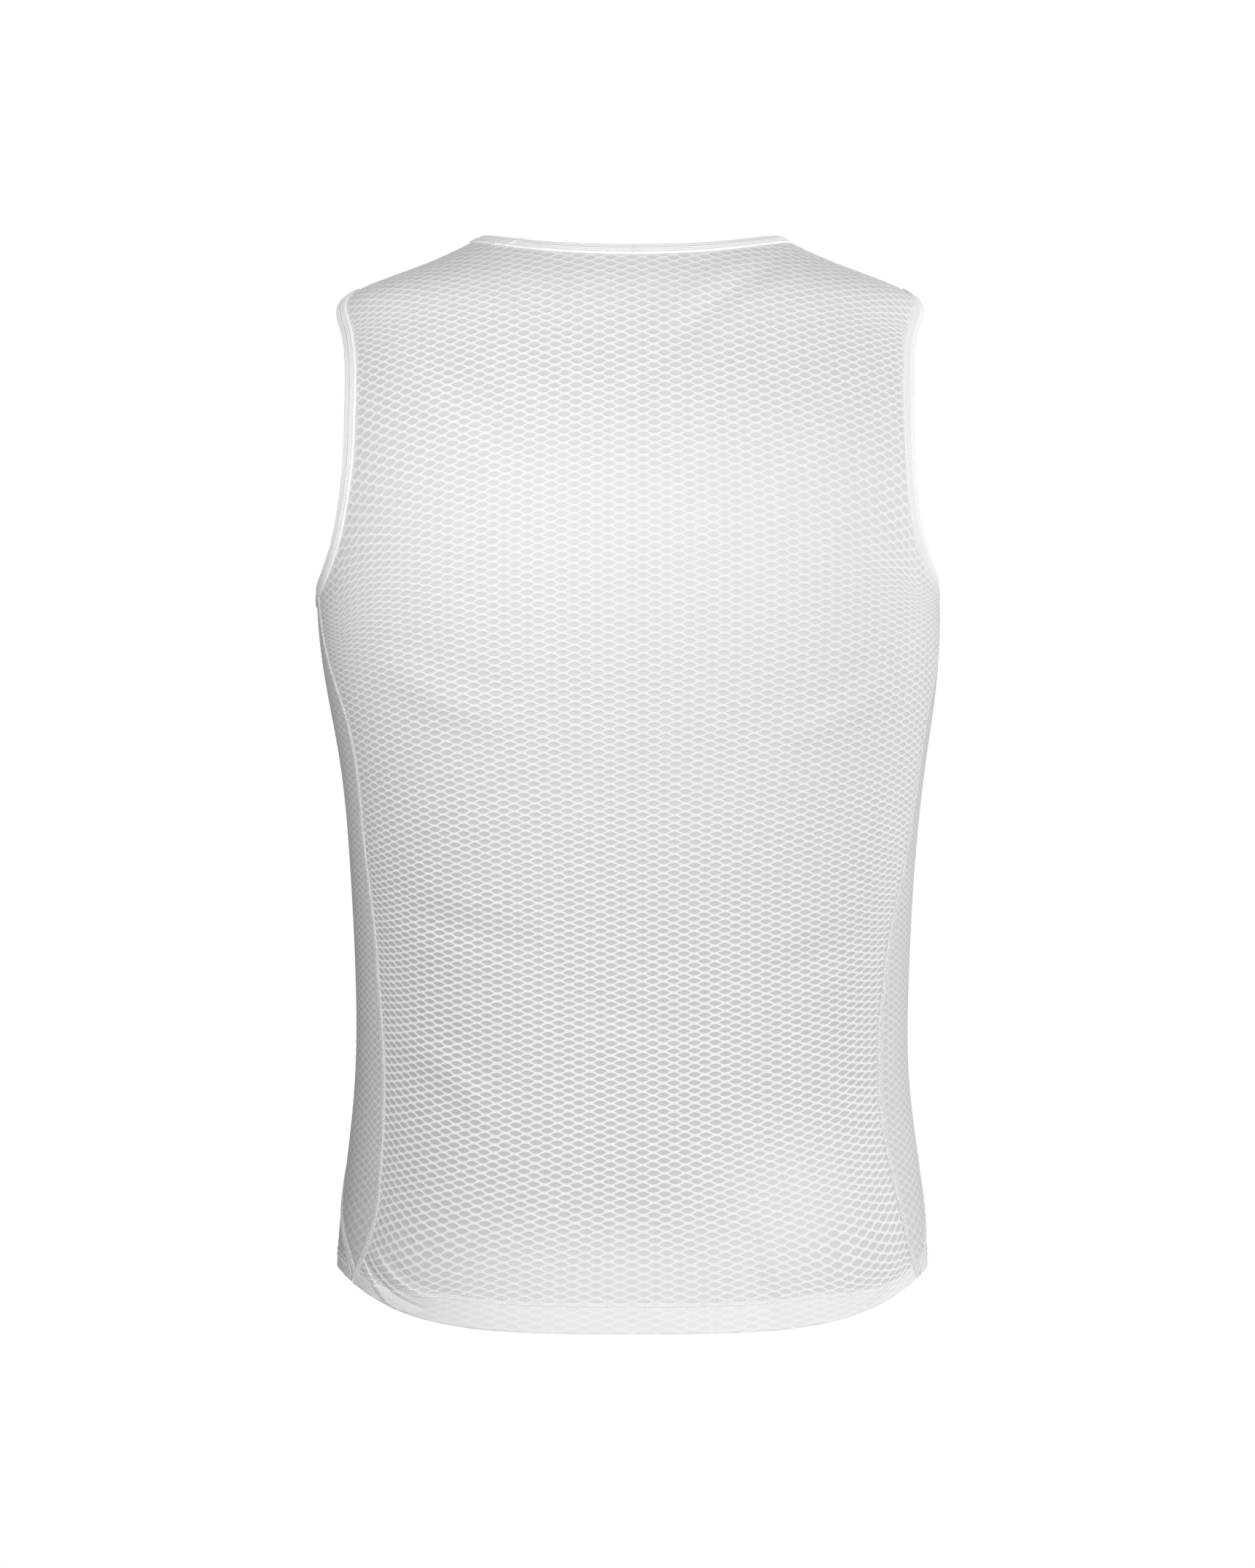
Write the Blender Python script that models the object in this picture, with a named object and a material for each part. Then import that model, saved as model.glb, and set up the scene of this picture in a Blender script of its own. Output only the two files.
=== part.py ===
"""A sleeveless sports base layer of white open mesh, worn and filled out with no wearer.

The wearer faces -Y, so the back lies toward +Y and the wearer's left toward +X. Z is 0 at the neck-side
points of the shoulders, where the wearer holds the garment up. Every panel is a wall on one worn shape,
a stack of rings. A point of that shape has an angle round the body, from 0 at the centre back through
90 degrees at the side to 180 degrees at the centre front, and a height. Tables are in millimetres.
"""

from collections import namedtuple

import bpy
import numpy as np

MM = 0.001
COLLECTION = "Sleeveless base layer"

# Cloth
WALL = 1.2
HEM_WALL = 2.2
HEM_TURN_UP = 20.0
HEM_STEP = 1.5
SEAM_GAP = 0.3

# Bindings: a folded strip along a raw edge
ARMHOLE_BINDING = 9.0
NECK_BINDING = 7.5
BINDING_THICK = 2.6
BINDING_ROUND = 0.8

# Lengths of the cut, downward from the neck-side points
BACK_LENGTH = 637.0
TAIL_BACK = 29.0
TAIL_FRONT = 18.0
TAIL_POWER = 3.6
TAIL_EASE = 3.2
NECK_HALF_WIDTH = 93.0
NECK_SIDE_HEIGHT = -6.0
NECK_DROP_BACK = 12.0
NECK_BACK_POWER = 3.0
NECK_DROP_FRONT = 87.0
SHOULDER_SEAM_ANGLE = 96.0
WAIST_HEIGHT = -440.0

# Rows and columns of the walls. Half a back or front ends at the top in the neckline's columns, then
# the shoulder seam's
NECK_COLUMNS = 9
SHOULDER_COLUMNS = 4
HALF_COLUMNS = NECK_COLUMNS + SHOULDER_COLUMNS
SIDE_COLUMNS = 5
SEAM_ROWS = 19
ARMHOLE_ROWS = 12

# The worn shape: half widths, depths behind and before the side line, and how full the ring is beyond
# an ellipse (negative is leaner)
Ring = namedtuple("Ring", "height half_left half_right back front full_back full_front")
RINGS = (
    Ring(12, 68, 68, 30, 30, -0.30, -0.30),
    Ring(0, 85, 84, 44, 45, -0.20, -0.20),
    Ring(-20, 125, 125, 64, 66, -0.10, -0.10),
    Ring(-36, 164.5, 163.5, 78, 80, 0.00, 0.00),
    Ring(-56, 175.5, 173, 89, 90, 0.15, 0.10),
    Ring(-90, 181, 178.5, 101, 102, 0.30, 0.20),
    Ring(-140, 184, 180.5, 113, 116, 0.42, 0.30),
    Ring(-190, 185, 180, 117, 126, 0.48, 0.36),
    Ring(-222, 185, 181, 116, 128, 0.50, 0.40),
    Ring(-260, 181, 180, 112, 124, 0.50, 0.42),
    Ring(-310, 172, 173.5, 104, 115, 0.48, 0.42),
    Ring(-370, 166, 167, 96, 106, 0.46, 0.42),
    Ring(-440, 162.5, 163.2, 92, 102, 0.44, 0.42),
    Ring(-500, 163, 163.5, 96, 102, 0.44, 0.42),
    Ring(-550, 168, 169.5, 104, 104, 0.46, 0.42),
    Ring(-600, 173, 174, 111, 106, 0.48, 0.42),
    Ring(-645, 174, 175, 115, 107, 0.50, 0.42),
)

# The edge of each armhole, round from the shoulder seam, down the back, under the arm and up the front
ArmholePoint = namedtuple("ArmholePoint", "angle height")
ARMHOLE = (
    ArmholePoint(96, -34),
    ArmholePoint(79.5, -37.5),
    ArmholePoint(68.5, -60),
    ArmholePoint(62.3, -90),
    ArmholePoint(61, -125),
    ArmholePoint(63.2, -160),
    ArmholePoint(68, -188),
    ArmholePoint(78, -208),
    ArmholePoint(95, -217),
    ArmholePoint(112, -208),
    ArmholePoint(124, -186),
    ArmholePoint(130, -155),
    ArmholePoint(131, -120),
    ArmholePoint(127, -85),
    ArmholePoint(118, -57),
    ArmholePoint(108, -41),
)
# The left armhole hangs lower than the right one, more and more from the first height to the second
LEFT_ARMHOLE_LOWER = 4.0
LOWER_FROM, LOWER_TO = -100.0, -200.0

# The two seams of each side panel, which narrows to a point at the hem
SeamPoint = namedtuple("SeamPoint", "height back_left front_left back_right front_right")
SIDE_SEAMS = (
    SeamPoint(-205, 82, 116, 87, 116),
    SeamPoint(-250, 77, 115, 83, 115),
    SeamPoint(-282, 71.3, 113.5, 77.5, 113.5),
    SeamPoint(-328, 69.6, 111.5, 76.3, 111.5),
    SeamPoint(-370, 69, 109, 73, 109),
    SeamPoint(-400, 66.9, 107.5, 68, 107.5),
    SeamPoint(-440, 65.2, 105, 64, 105),
    SeamPoint(-500, 62.2, 101, 61.7, 101),
    SeamPoint(-550, 60.3, 93, 63, 94),
    SeamPoint(-580, 60.9, 81, 66.3, 86),
    SeamPoint(-600, 64.8, 71, 69.5, 78),
    SeamPoint(-610, 67.5, 68.6, 72.5, 73.7),
    SeamPoint(-625, 72, 73, 77, 78),
)

Material = namedtuple("Material", "name colour roughness")
MESH = Material("white_open_mesh", (0.78, 0.79, 0.80), 0.85)
SIDE_MESH = Material("white_side_mesh", (0.74, 0.75, 0.76), 0.85)
BINDING = Material("white_elastic_binding", (0.86, 0.87, 0.88), 0.7)


def smooth(heights, values):
    """A natural cubic through the table's values, read at any height."""
    x, y = np.array(heights[::-1], float), np.array(values[::-1], float)
    step = np.diff(x)
    count = len(x)
    system = np.eye(count)
    slopes = np.zeros(count)
    for i in range(1, count - 1):
        system[i, i - 1 : i + 2] = step[i - 1], 2 * (step[i - 1] + step[i]), step[i]
        slopes[i] = 6 * ((y[i + 1] - y[i]) / step[i] - (y[i] - y[i - 1]) / step[i - 1])
    bend = np.linalg.solve(system, slopes)

    def read(height):
        i = np.clip(np.searchsorted(x, height) - 1, 0, count - 2)
        a, b = x[i + 1] - height, height - x[i]
        cubic = (bend[i] * a**3 + bend[i + 1] * b**3) / (6 * step[i])
        low = (y[i] / step[i] - bend[i] * step[i] / 6) * a
        high = (y[i + 1] / step[i] - bend[i + 1] * step[i] / 6) * b
        return cubic + low + high

    return read


def column(table, name):
    """One column of a table, as a smooth function of height."""
    return smooth([row.height for row in table], [getattr(row, name) for row in table])


RING = {name: column(RINGS, name) for name in Ring._fields[1:]}
SEAM = {name: column(SIDE_SEAMS, name) for name in SeamPoint._fields[1:]}


def on_body(angle, height, side):
    """The worn shape's point at an angle and a height. side is 1 for the left half and -1 for the right."""
    turn = np.radians(angle)
    half = RING["half_left"](height) if side > 0 else RING["half_right"](height)
    behind = np.cos(turn) >= 0
    depth = np.where(behind, RING["back"](height), RING["front"](height))
    full = np.where(behind, RING["full_back"](height), RING["full_front"](height))
    across = side * half * np.sin(turn)
    along = depth * np.cos(turn) * np.sqrt(1 + full * np.sin(turn) ** 2)
    return np.stack([across, along, height + 0 * across], axis=-1)


def outward(angle, height, side):
    """The unit normal there, from two short steps across the surface."""
    turn = on_body(angle + 0.2, height, side) - on_body(angle - 0.2, height, side)
    rise = on_body(angle, height + 0.2, side) - on_body(angle, height - 0.2, side)
    normal = side * np.cross(rise, turn)
    return normal / np.linalg.norm(normal, axis=-1, keepdims=True)


def nearest_angle(points, side):
    """The (angle, height) of points near the body, each moved level, away from the body's axis."""
    height = points[..., 2]
    half = RING["half_left"](height) if side > 0 else RING["half_right"](height)
    behind = points[..., 1] >= 0
    depth = np.where(behind, RING["back"](height), RING["front"](height))
    full = np.where(behind, RING["full_back"](height), RING["full_front"](height))
    turn = np.arctan2(side * points[..., 0] / half, points[..., 1] / depth)
    for _ in range(6):
        bulge = np.sqrt(1 + full * np.sin(turn) ** 2)
        turn = np.arctan2(side * points[..., 0] / half, points[..., 1] / (depth * bulge))
    return np.stack([np.degrees(turn), height], axis=-1)


def length_along(curve, side):
    points = on_body(curve[:, 0], curve[:, 1], side)
    steps = np.linalg.norm(np.diff(points, axis=0), axis=1)
    return np.concatenate([[0], np.cumsum(steps)])


def spaced(curve, side, count):
    """count + 1 points of an (angle, height) curve, evenly apart on the body."""
    along = length_along(curve, side)
    at = np.linspace(0, along[-1], count + 1)
    return np.stack([np.interp(at, along, curve[:, k]) for k in range(2)], axis=1)


def closed_curve(points, per_span=24):
    """A smooth closed curve through (angle, height) points, by Catmull-Rom spans."""
    knots = np.array(points, float)
    before, after, beyond = (np.roll(knots, shift, axis=0) for shift in (1, -1, -2))
    t = np.linspace(0, 1, per_span, endpoint=False)[:, None, None]
    linear = (after - before) * t
    square = (2 * before - 5 * knots + 4 * after - beyond) * t**2
    cube = (3 * knots - before - 3 * after + beyond) * t**3
    curve = (2 * knots + linear + square + cube) / 2
    return curve.transpose(1, 0, 2).reshape(-1, 2)


def hem_height(angle):
    """The hem's height: a drop tail behind, and a shallower one in front."""
    from_centre = np.minimum(angle, 180 - angle) / 90
    tail = np.where(angle < 90, TAIL_BACK, TAIL_FRONT)
    return TAIL_BACK - BACK_LENGTH - tail * (1 - from_centre**TAIL_POWER) ** TAIL_EASE


class Edges:
    """The seam and edge curves of one side of the body, as (angle, height) stations."""

    def __init__(self, side):
        self.side = side
        lower = LEFT_ARMHOLE_LOWER if side > 0 else 0
        knots = np.array(ARMHOLE, float)
        knots[:, 1] -= lower * np.clip((knots[:, 1] - LOWER_FROM) / (LOWER_TO - LOWER_FROM), 0, 1)
        loop = closed_curve(knots)
        hand = "left" if side > 0 else "right"
        back, front = SEAM["back_" + hand], SEAM["front_" + hand]
        underside = np.argmin(loop[:, 1])
        first = self.crossing(loop, back, 0, underside)
        last = self.crossing(loop, front, underside, len(loop))
        closed = np.vstack([loop, loop[:1]])
        self.back_armhole = spaced(closed[: first + 1], side, ARMHOLE_ROWS)[::-1]
        self.under_arm = spaced(closed[first : last + 1], side, SIDE_COLUMNS)
        self.front_armhole = spaced(closed[last:], side, ARMHOLE_ROWS)
        self.back_seam = self.seam(back, self.under_arm[0])
        self.front_seam = self.seam(front, self.under_arm[-1])
        tip = np.linspace([SHOULDER_SEAM_ANGLE, NECK_SIDE_HEIGHT], loop[0], 100)
        self.shoulder = spaced(tip, side, SHOULDER_COLUMNS)

    @staticmethod
    def crossing(loop, seam, start, end):
        """Where the seam meets the armhole's lower half, as an index into the loop."""
        part = loop[start:end]
        low = part[:, 1] < loop[:, 1].mean()
        miss = np.where(low, np.abs(part[:, 0] - seam(part[:, 1])), np.inf)
        return start + int(np.argmin(miss))

    @staticmethod
    def seam(angle_at, top):
        """A side seam from the hem's edge up to the armhole, with close rows at the turned-up hem."""
        foot = TAIL_BACK - BACK_LENGTH
        for _ in range(8):  # the foot's height and angle settle together
            foot = float(hem_height(angle_at(foot)))
        hem = foot + np.array([0, HEM_TURN_UP / 2, HEM_TURN_UP, HEM_TURN_UP + HEM_STEP])
        rest = np.linspace(hem[-1], top[1], SEAM_ROWS - 2)[1:]
        height = np.concatenate([hem, rest])
        ease = np.clip((height - height[-4]) / (height[-1] - height[-4]), 0, 1) ** 2
        angle = angle_at(height)
        angle = angle + ease * (top[0] - angle[-1])
        return np.stack([angle, height], axis=1)


def neckline(side, behind):
    """The neck's edge from the centre to the shoulder seam, in even steps."""
    share = np.linspace(0, 1, 400)
    turn = share * np.pi / 2
    if behind:
        angle = SHOULDER_SEAM_ANGLE * share
        height = NECK_SIDE_HEIGHT - NECK_DROP_BACK * np.cos(turn) ** NECK_BACK_POWER
        return spaced(np.stack([angle, height], axis=1), side, NECK_COLUMNS)
    height = NECK_SIDE_HEIGHT - NECK_DROP_FRONT * np.cos(turn)
    half = RING["half_left"](height) if side > 0 else RING["half_right"](height)
    sine = np.clip(NECK_HALF_WIDTH * np.sin(turn) / half, 0, 1)
    angle = 180 - np.degrees(np.arcsin(sine))
    keep = angle > SHOULDER_SEAM_ANGLE
    curve = np.stack([angle[keep], height[keep]], axis=1)
    curve = np.vstack([curve, [SHOULDER_SEAM_ANGLE, NECK_SIDE_HEIGHT]])
    return spaced(curve, side, NECK_COLUMNS)


def coons(bottom, top, start, end):
    """A patch between four edges of points: bottom and top run across, start and end run up."""
    u = np.linspace(0, 1, len(bottom))[None, :, None]
    v = np.linspace(0, 1, len(start))[:, None, None]
    across = (1 - v) * bottom[None] + v * top[None]
    up = (1 - u) * start[:, None] + u * end[:, None]
    low = (1 - v) * ((1 - u) * bottom[0] + u * bottom[-1])
    high = v * ((1 - u) * top[0] + u * top[-1])
    return across + up - low - high


def half_panel(edges, behind):
    """The (angle, height) grid of half a back or front, row by row from the hem, centre column first."""
    centre = 0.0 if behind else 180.0
    seam = edges.back_seam if behind else edges.front_seam
    armhole = edges.back_armhole if behind else edges.front_armhole
    neck = neckline(edges.side, behind)
    u = np.linspace(0, 1, HALF_COLUMNS + 1)
    lower = []
    for seam_angle, height in seam:
        angle = centre + (seam_angle - centre) * u
        ease = np.clip((WAIST_HEIGHT - height) / (WAIST_HEIGHT - seam[0, 1]), 0, 1) ** 2
        drop = (hem_height(seam_angle) - hem_height(angle)) * ease
        lower.append(np.stack([angle, height - drop], axis=1))
    lower = np.array(lower)
    top = np.vstack([neck, edges.shoulder[1:]])
    share = length_along(armhole, edges.side)
    share = share / share[-1]
    up = lower[-1, 0, 1] + (neck[0, 1] - lower[-1, 0, 1]) * share
    middle = np.stack([np.full_like(up, centre), up], axis=1)
    edge_points = [on_body(edge[:, 0], edge[:, 1], edges.side) for edge in (lower[-1], top, middle, armhole)]
    upper = nearest_angle(coons(*edge_points), edges.side)
    upper[-1], upper[:, -1], upper[:, 0] = top, armhole, middle
    return np.vstack([lower, upper[1:]])


def wall_depth(rows):
    """How thick the wall is at each row: the turned-up hem is thicker, inward."""
    return np.array([HEM_WALL] * 3 + [WALL] * (rows - 3))[:, None, None]


def part_seam(points, normals, beside):
    """Moves a seam's points in from it by half the seam gap, across the seam, toward the points beside."""
    along = np.gradient(points, axis=0)
    across = np.cross(normals, along)
    across /= np.linalg.norm(across, axis=1, keepdims=True)
    toward = np.sign(np.sum(across * (beside - points)))
    return points + across * toward * SEAM_GAP / 2


def closed_wall(name, outer, inner, material):
    """One closed body between two grids of points that match, rims included."""
    rows, columns = outer.shape[:2]
    points = np.concatenate([outer.reshape(-1, 3), inner.reshape(-1, 3)]) * MM
    index = np.arange(rows * columns).reshape(rows, columns)
    under = index + rows * columns
    faces = []
    for i in range(rows - 1):
        for j in range(columns - 1):
            a, b, c, d = index[i, j], index[i, j + 1], index[i + 1, j + 1], index[i + 1, j]
            faces.append((a, b, c, d))
            faces.append(tuple(n + rows * columns for n in (d, c, b, a)))
    ring = np.concatenate([index[0, :-1], index[:-1, -1], index[-1, :0:-1], index[:0:-1, 0]])
    inner_ring = np.concatenate([under[0, :-1], under[:-1, -1], under[-1, :0:-1], under[:0:-1, 0]])
    for a, b, c, d in zip(ring, inner_ring, np.roll(inner_ring, -1), np.roll(ring, -1)):
        faces.append((a, b, c, d))
    return add_object(name, points, faces, material)


def add_object(name, points, faces, material):
    mesh = bpy.data.meshes.new(name)
    mesh.from_pydata([tuple(map(float, p)) for p in points], [], [tuple(map(int, f)) for f in faces])
    mesh.validate()
    mesh.shade_smooth()
    mesh.set_sharp_from_angle(angle=np.radians(50))
    mesh.materials.append(get_material(material))
    thing = bpy.data.objects.new(name, mesh)
    bpy.data.collections[COLLECTION].objects.link(thing)
    return thing


def get_material(kind):
    found = bpy.data.materials.get(kind.name)
    if found:
        return found
    made = bpy.data.materials.new(kind.name)
    made.use_nodes = True
    shader = made.node_tree.nodes["Principled BSDF"]
    shader.inputs["Base Color"].default_value = (*kind.colour, 1)
    shader.inputs["Roughness"].default_value = kind.roughness
    return made


def half_surface(edges, behind):
    """Half a back or front on the body, with its normals, parted at the side and shoulder seams."""
    grid = half_panel(edges, behind)
    points = on_body(grid[..., 0], grid[..., 1], edges.side)
    normals = outward(grid[..., 0], grid[..., 1], edges.side)
    seams = (
        ((slice(None, SEAM_ROWS + 1), -1), (slice(None, SEAM_ROWS + 1), -2)),
        ((-1, slice(NECK_COLUMNS, None)), (-2, slice(NECK_COLUMNS, None))),
    )
    for seam, beside in seams:
        points[seam] = part_seam(points[seam], normals[seam], points[beside])
    return points, normals


def make_panel(name, left, right, behind):
    """The back or the front, between the two side seams."""
    left_half, right_half = half_surface(left, behind), half_surface(right, behind)
    outer, normals = (
        np.concatenate([b[:, :0:-1], a], axis=1) for a, b in zip(left_half, right_half)
    )
    inner = outer - normals * wall_depth(len(outer))
    if behind:
        outer, inner = outer[:, ::-1], inner[:, ::-1]
    return closed_wall(name, outer, inner, MESH)


def make_side(name, edges):
    """A side panel, between its back and front seams."""
    rows = len(edges.back_seam)
    u = np.linspace(0, 1, SIDE_COLUMNS + 1)
    grid = edges.back_seam[:, None] * (1 - u)[None, :, None] + edges.front_seam[:, None] * u[None, :, None]
    ease = (np.linspace(0, 1, rows) ** 6)[:, None, None]  # only the top rows bend to the armhole
    grid = grid + ease * (edges.under_arm - grid[-1])[None]
    outer = on_body(grid[..., 0], grid[..., 1], edges.side)
    normals = outward(grid[..., 0], grid[..., 1], edges.side)
    for end, beside in ((0, 1), (-1, -2)):
        outer[:, end] = part_seam(outer[:, end], normals[:, end], outer[:, beside])
    inner = outer - normals * wall_depth(rows)
    if edges.side > 0:
        outer, inner = outer[:, ::-1], inner[:, ::-1]
    return closed_wall(name, outer, inner, SIDE_MESH)


def binding_section(width):
    """The strip's section as (out past the edge, out from the body) corners, anticlockwise."""
    low, high = WALL / 2 - BINDING_THICK / 2 - WALL, BINDING_THICK / 2 - WALL / 2
    near, far, cut = SEAM_GAP, SEAM_GAP + width, BINDING_ROUND
    return np.array(
        [(near, low + cut), (near + cut, low), (far - cut, low), (far, low + cut)]
        + [(far, high - cut), (far - cut, high), (near + cut, high), (near, high - cut)]
    )


def make_binding(name, stations, width):
    """A strip swept along a closed edge. stations is (angle, height, side) rows in order."""
    points = np.array([on_body(*row) for row in stations])
    normal = np.array([outward(*row) for row in stations])
    along = np.roll(points, -1, axis=0) - np.roll(points, 1, axis=0)
    along /= np.linalg.norm(along, axis=1, keepdims=True)
    past = np.cross(along, normal)
    section = binding_section(width)
    rings = points[:, None] + past[:, None] * section[None, :, :1] + normal[:, None] * section[None, :, 1:]
    count, sides = rings.shape[:2]
    faces = []
    for i in range(count):
        for j in range(sides):
            k, m = (i + 1) % count, (j + 1) % sides
            faces.append((i * sides + j, k * sides + j, k * sides + m, i * sides + m))
    return add_object(name, rings.reshape(-1, 3) * MM, faces, BINDING)


def armhole_stations(edges):
    """The armhole's whole edge, so that the body is on the right hand going round."""
    loop = np.vstack([edges.back_armhole[::-1][:-1], edges.under_arm[:-1], edges.front_armhole[:-1]])
    rows = [(angle, height, edges.side) for angle, height in loop]
    return rows if edges.side > 0 else rows[::-1]


def neck_stations(left, right):
    """The neck's whole edge, centre back, left shoulder, centre front, right shoulder."""
    rows = []
    for edges, behind, forward in ((left, True, 1), (left, False, -1), (right, False, 1), (right, True, -1)):
        part = [(angle, height, edges.side) for angle, height in neckline(edges.side, behind)]
        rows += part[::forward][:-1]
    return rows


def clear_scene():
    for thing in list(bpy.data.objects):
        bpy.data.objects.remove(thing)


def main():
    clear_scene()
    bpy.context.scene.collection.children.link(bpy.data.collections.new(COLLECTION))
    left, right = Edges(1), Edges(-1)
    make_panel("back_panel", left, right, True)
    make_panel("front_panel", left, right, False)
    make_side("side_panel_left", left)
    make_side("side_panel_right", right)
    make_binding("neck_binding", neck_stations(left, right), NECK_BINDING)
    make_binding("armhole_binding_left", armhole_stations(left), ARMHOLE_BINDING)
    make_binding("armhole_binding_right", armhole_stations(right), ARMHOLE_BINDING)


main()
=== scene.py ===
import bpy
import mathutils
import numpy as np
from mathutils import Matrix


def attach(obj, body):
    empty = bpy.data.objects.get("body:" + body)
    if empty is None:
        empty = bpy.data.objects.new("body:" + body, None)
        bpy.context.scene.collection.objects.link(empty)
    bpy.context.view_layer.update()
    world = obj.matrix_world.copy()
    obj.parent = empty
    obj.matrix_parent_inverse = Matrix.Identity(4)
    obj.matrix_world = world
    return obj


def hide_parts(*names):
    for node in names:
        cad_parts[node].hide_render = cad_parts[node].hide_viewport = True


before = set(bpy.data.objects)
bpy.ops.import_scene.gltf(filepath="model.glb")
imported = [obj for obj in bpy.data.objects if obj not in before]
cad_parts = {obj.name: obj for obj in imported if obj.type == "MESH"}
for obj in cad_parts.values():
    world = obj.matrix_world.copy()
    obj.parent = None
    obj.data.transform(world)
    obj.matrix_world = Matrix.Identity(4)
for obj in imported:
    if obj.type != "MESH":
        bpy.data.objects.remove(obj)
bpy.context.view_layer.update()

mm = 0.001
body = "root"
sharpAngle = 62  # degrees: an edge that turns more than this isn't shaded smooth

# The worn shape is in millimetres. An angle round it is 0 at the centre back and 180 at the centre front.

# height, half width left and right, depth behind and before, fullness beyond an ellipse behind and before
ringNames = ("height", "halfLeft", "halfRight", "back", "front", "fullBack", "fullFront")
rings = (
    (12, 68, 68, 30, 30, -0.30, -0.30),
    (0, 85, 84, 44, 45, -0.20, -0.20),
    (-20, 125, 125, 64, 66, -0.10, -0.10),
    (-36, 164.5, 163.5, 78, 80, 0.00, 0.00),
    (-56, 175.5, 173, 89, 90, 0.15, 0.10),
    (-90, 181, 178.5, 101, 102, 0.30, 0.20),
    (-140, 184, 180.5, 113, 116, 0.42, 0.30),
    (-190, 185, 180, 117, 126, 0.48, 0.36),
    (-222, 185, 181, 116, 128, 0.50, 0.40),
    (-260, 181, 180, 112, 124, 0.50, 0.42),
    (-310, 172, 173.5, 104, 115, 0.48, 0.42),
    (-370, 166, 167, 96, 106, 0.46, 0.42),
    (-440, 162.5, 163.2, 92, 102, 0.44, 0.42),
    (-500, 163, 163.5, 96, 102, 0.44, 0.42),
    (-550, 168, 169.5, 104, 104, 0.46, 0.42),
    (-600, 173, 174, 111, 106, 0.48, 0.42),
    (-645, 174, 175, 115, 107, 0.50, 0.42),
)

# the edge of each armhole as angle and height, from the shoulder seam down the back and up the front
armhole = (
    (96, -34), (79.5, -37.5), (68.5, -60), (62.3, -90), (61, -125), (63.2, -160), (68, -188), (78, -208),
    (95, -217), (112, -208), (124, -186), (130, -155), (131, -120), (127, -85), (118, -57), (108, -41),
)

# height, then the angles of the left back, left front, right back and right front seams
seamNames = ("height", "backLeft", "frontLeft", "backRight", "frontRight")
sideSeams = (
    (-205, 82, 116, 87, 116),
    (-250, 77, 115, 83, 115),
    (-282, 71.3, 113.5, 77.5, 113.5),
    (-328, 69.6, 111.5, 76.3, 111.5),
    (-370, 69, 109, 73, 109),
    (-400, 66.9, 107.5, 68, 107.5),
    (-440, 65.2, 105, 64, 105),
    (-500, 62.2, 101, 61.7, 101),
    (-550, 60.3, 93, 63, 94),
    (-580, 60.9, 81, 66.3, 86),
    (-600, 64.8, 71, 69.5, 78),
    (-610, 67.5, 68.6, 72.5, 73.7),
    (-625, 72, 73, 77, 78),
)

cut = {
    "wall": 1.2,
    "hemWall": 2.2,
    "hemTurnUp": 20.0,
    "hemFoot": -608.0,  # the hem's height at the side line
    "tailBack": 29.0,
    "tailFront": 18.0,
    "tailPower": 3.6,
    "tailEase": 3.2,
    "neckHalfWidth": 93.0,
    "neckSideHeight": -6.0,
    "neckDropBack": 12.0,
    "neckBackPower": 3.0,
    "neckDropFront": 87.0,
    "shoulderAngle": 96.0,
    "leftArmholeLower": 4.0,
    "lowerFrom": -100.0,
    "lowerTo": -200.0,
    "seamGap": 0.3,
    "armholeBinding": 9.0,
    "neckBinding": 7.5,
}


def cubicThrough(heights, values):
    # a natural cubic: each span is a cubic, and the bend runs on from span to span and is none at the ends
    x, y = np.array(heights, float), np.array(values, float)
    order = np.argsort(x)
    x, y = x[order], y[order]
    step = np.diff(x)
    count = len(x)
    system = np.eye(count)
    slopes = np.zeros(count)
    for i in range(1, count - 1):
        system[i, i - 1 : i + 2] = step[i - 1], 2 * (step[i - 1] + step[i]), step[i]
        slopes[i] = 6 * ((y[i + 1] - y[i]) / step[i] - (y[i] - y[i - 1]) / step[i - 1])
    bend = np.linalg.solve(system, slopes)

    def read(height):
        i = np.clip(np.searchsorted(x, height) - 1, 0, count - 2)
        a, b = x[i + 1] - height, height - x[i]
        cubic = (bend[i] * a**3 + bend[i + 1] * b**3) / (6 * step[i])
        low = (y[i] / step[i] - bend[i] * step[i] / 6) * a
        high = (y[i + 1] / step[i] - bend[i + 1] * step[i] / 6) * b
        return cubic + low + high

    return read


def columns(table, names):
    # each named column of a table, as a smooth function of the first
    rows = np.array(table, float)
    return {name: cubicThrough(rows[:, 0], rows[:, k]) for k, name in enumerate(names) if k}


def unit(vectors):
    # each vector over its own length
    return vectors / np.linalg.norm(vectors, axis=-1, keepdims=True)


def runAlong(points):
    # how far along a path each of its points lies: the running sum of its steps
    return np.concatenate([[0], np.cumsum(np.linalg.norm(np.diff(points, axis=0), axis=1))])


def smoothStep(share):
    # 3 times the square less 2 times the cube, from 0 to 1
    share = np.clip(share, 0, 1)
    return share**2 * (3 - 2 * share)


def bodyAngle(angle, behind):
    # an angle from the nearer centre line turned to one from the centre back, and the other way
    return angle if behind else 180 - angle


ring = columns(rings, ringNames)
seamAngle = columns(sideSeams, seamNames)


def onBody(angle, height, side):
    # a ring's point: half width times the sine across, depth times the cosine along, swollen by fullness
    turn = np.radians(angle)
    half = np.where(np.asarray(side) > 0, ring["halfLeft"](height), ring["halfRight"](height))
    behind = np.cos(turn) >= 0
    depth = np.where(behind, ring["back"](height), ring["front"](height))
    full = np.where(behind, ring["fullBack"](height), ring["fullFront"](height))
    across = side * half * np.sin(turn)
    along = depth * np.cos(turn) * np.sqrt(1 + full * np.sin(turn) ** 2)
    return np.stack([across, along, height + 0 * across], axis=-1)


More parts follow.
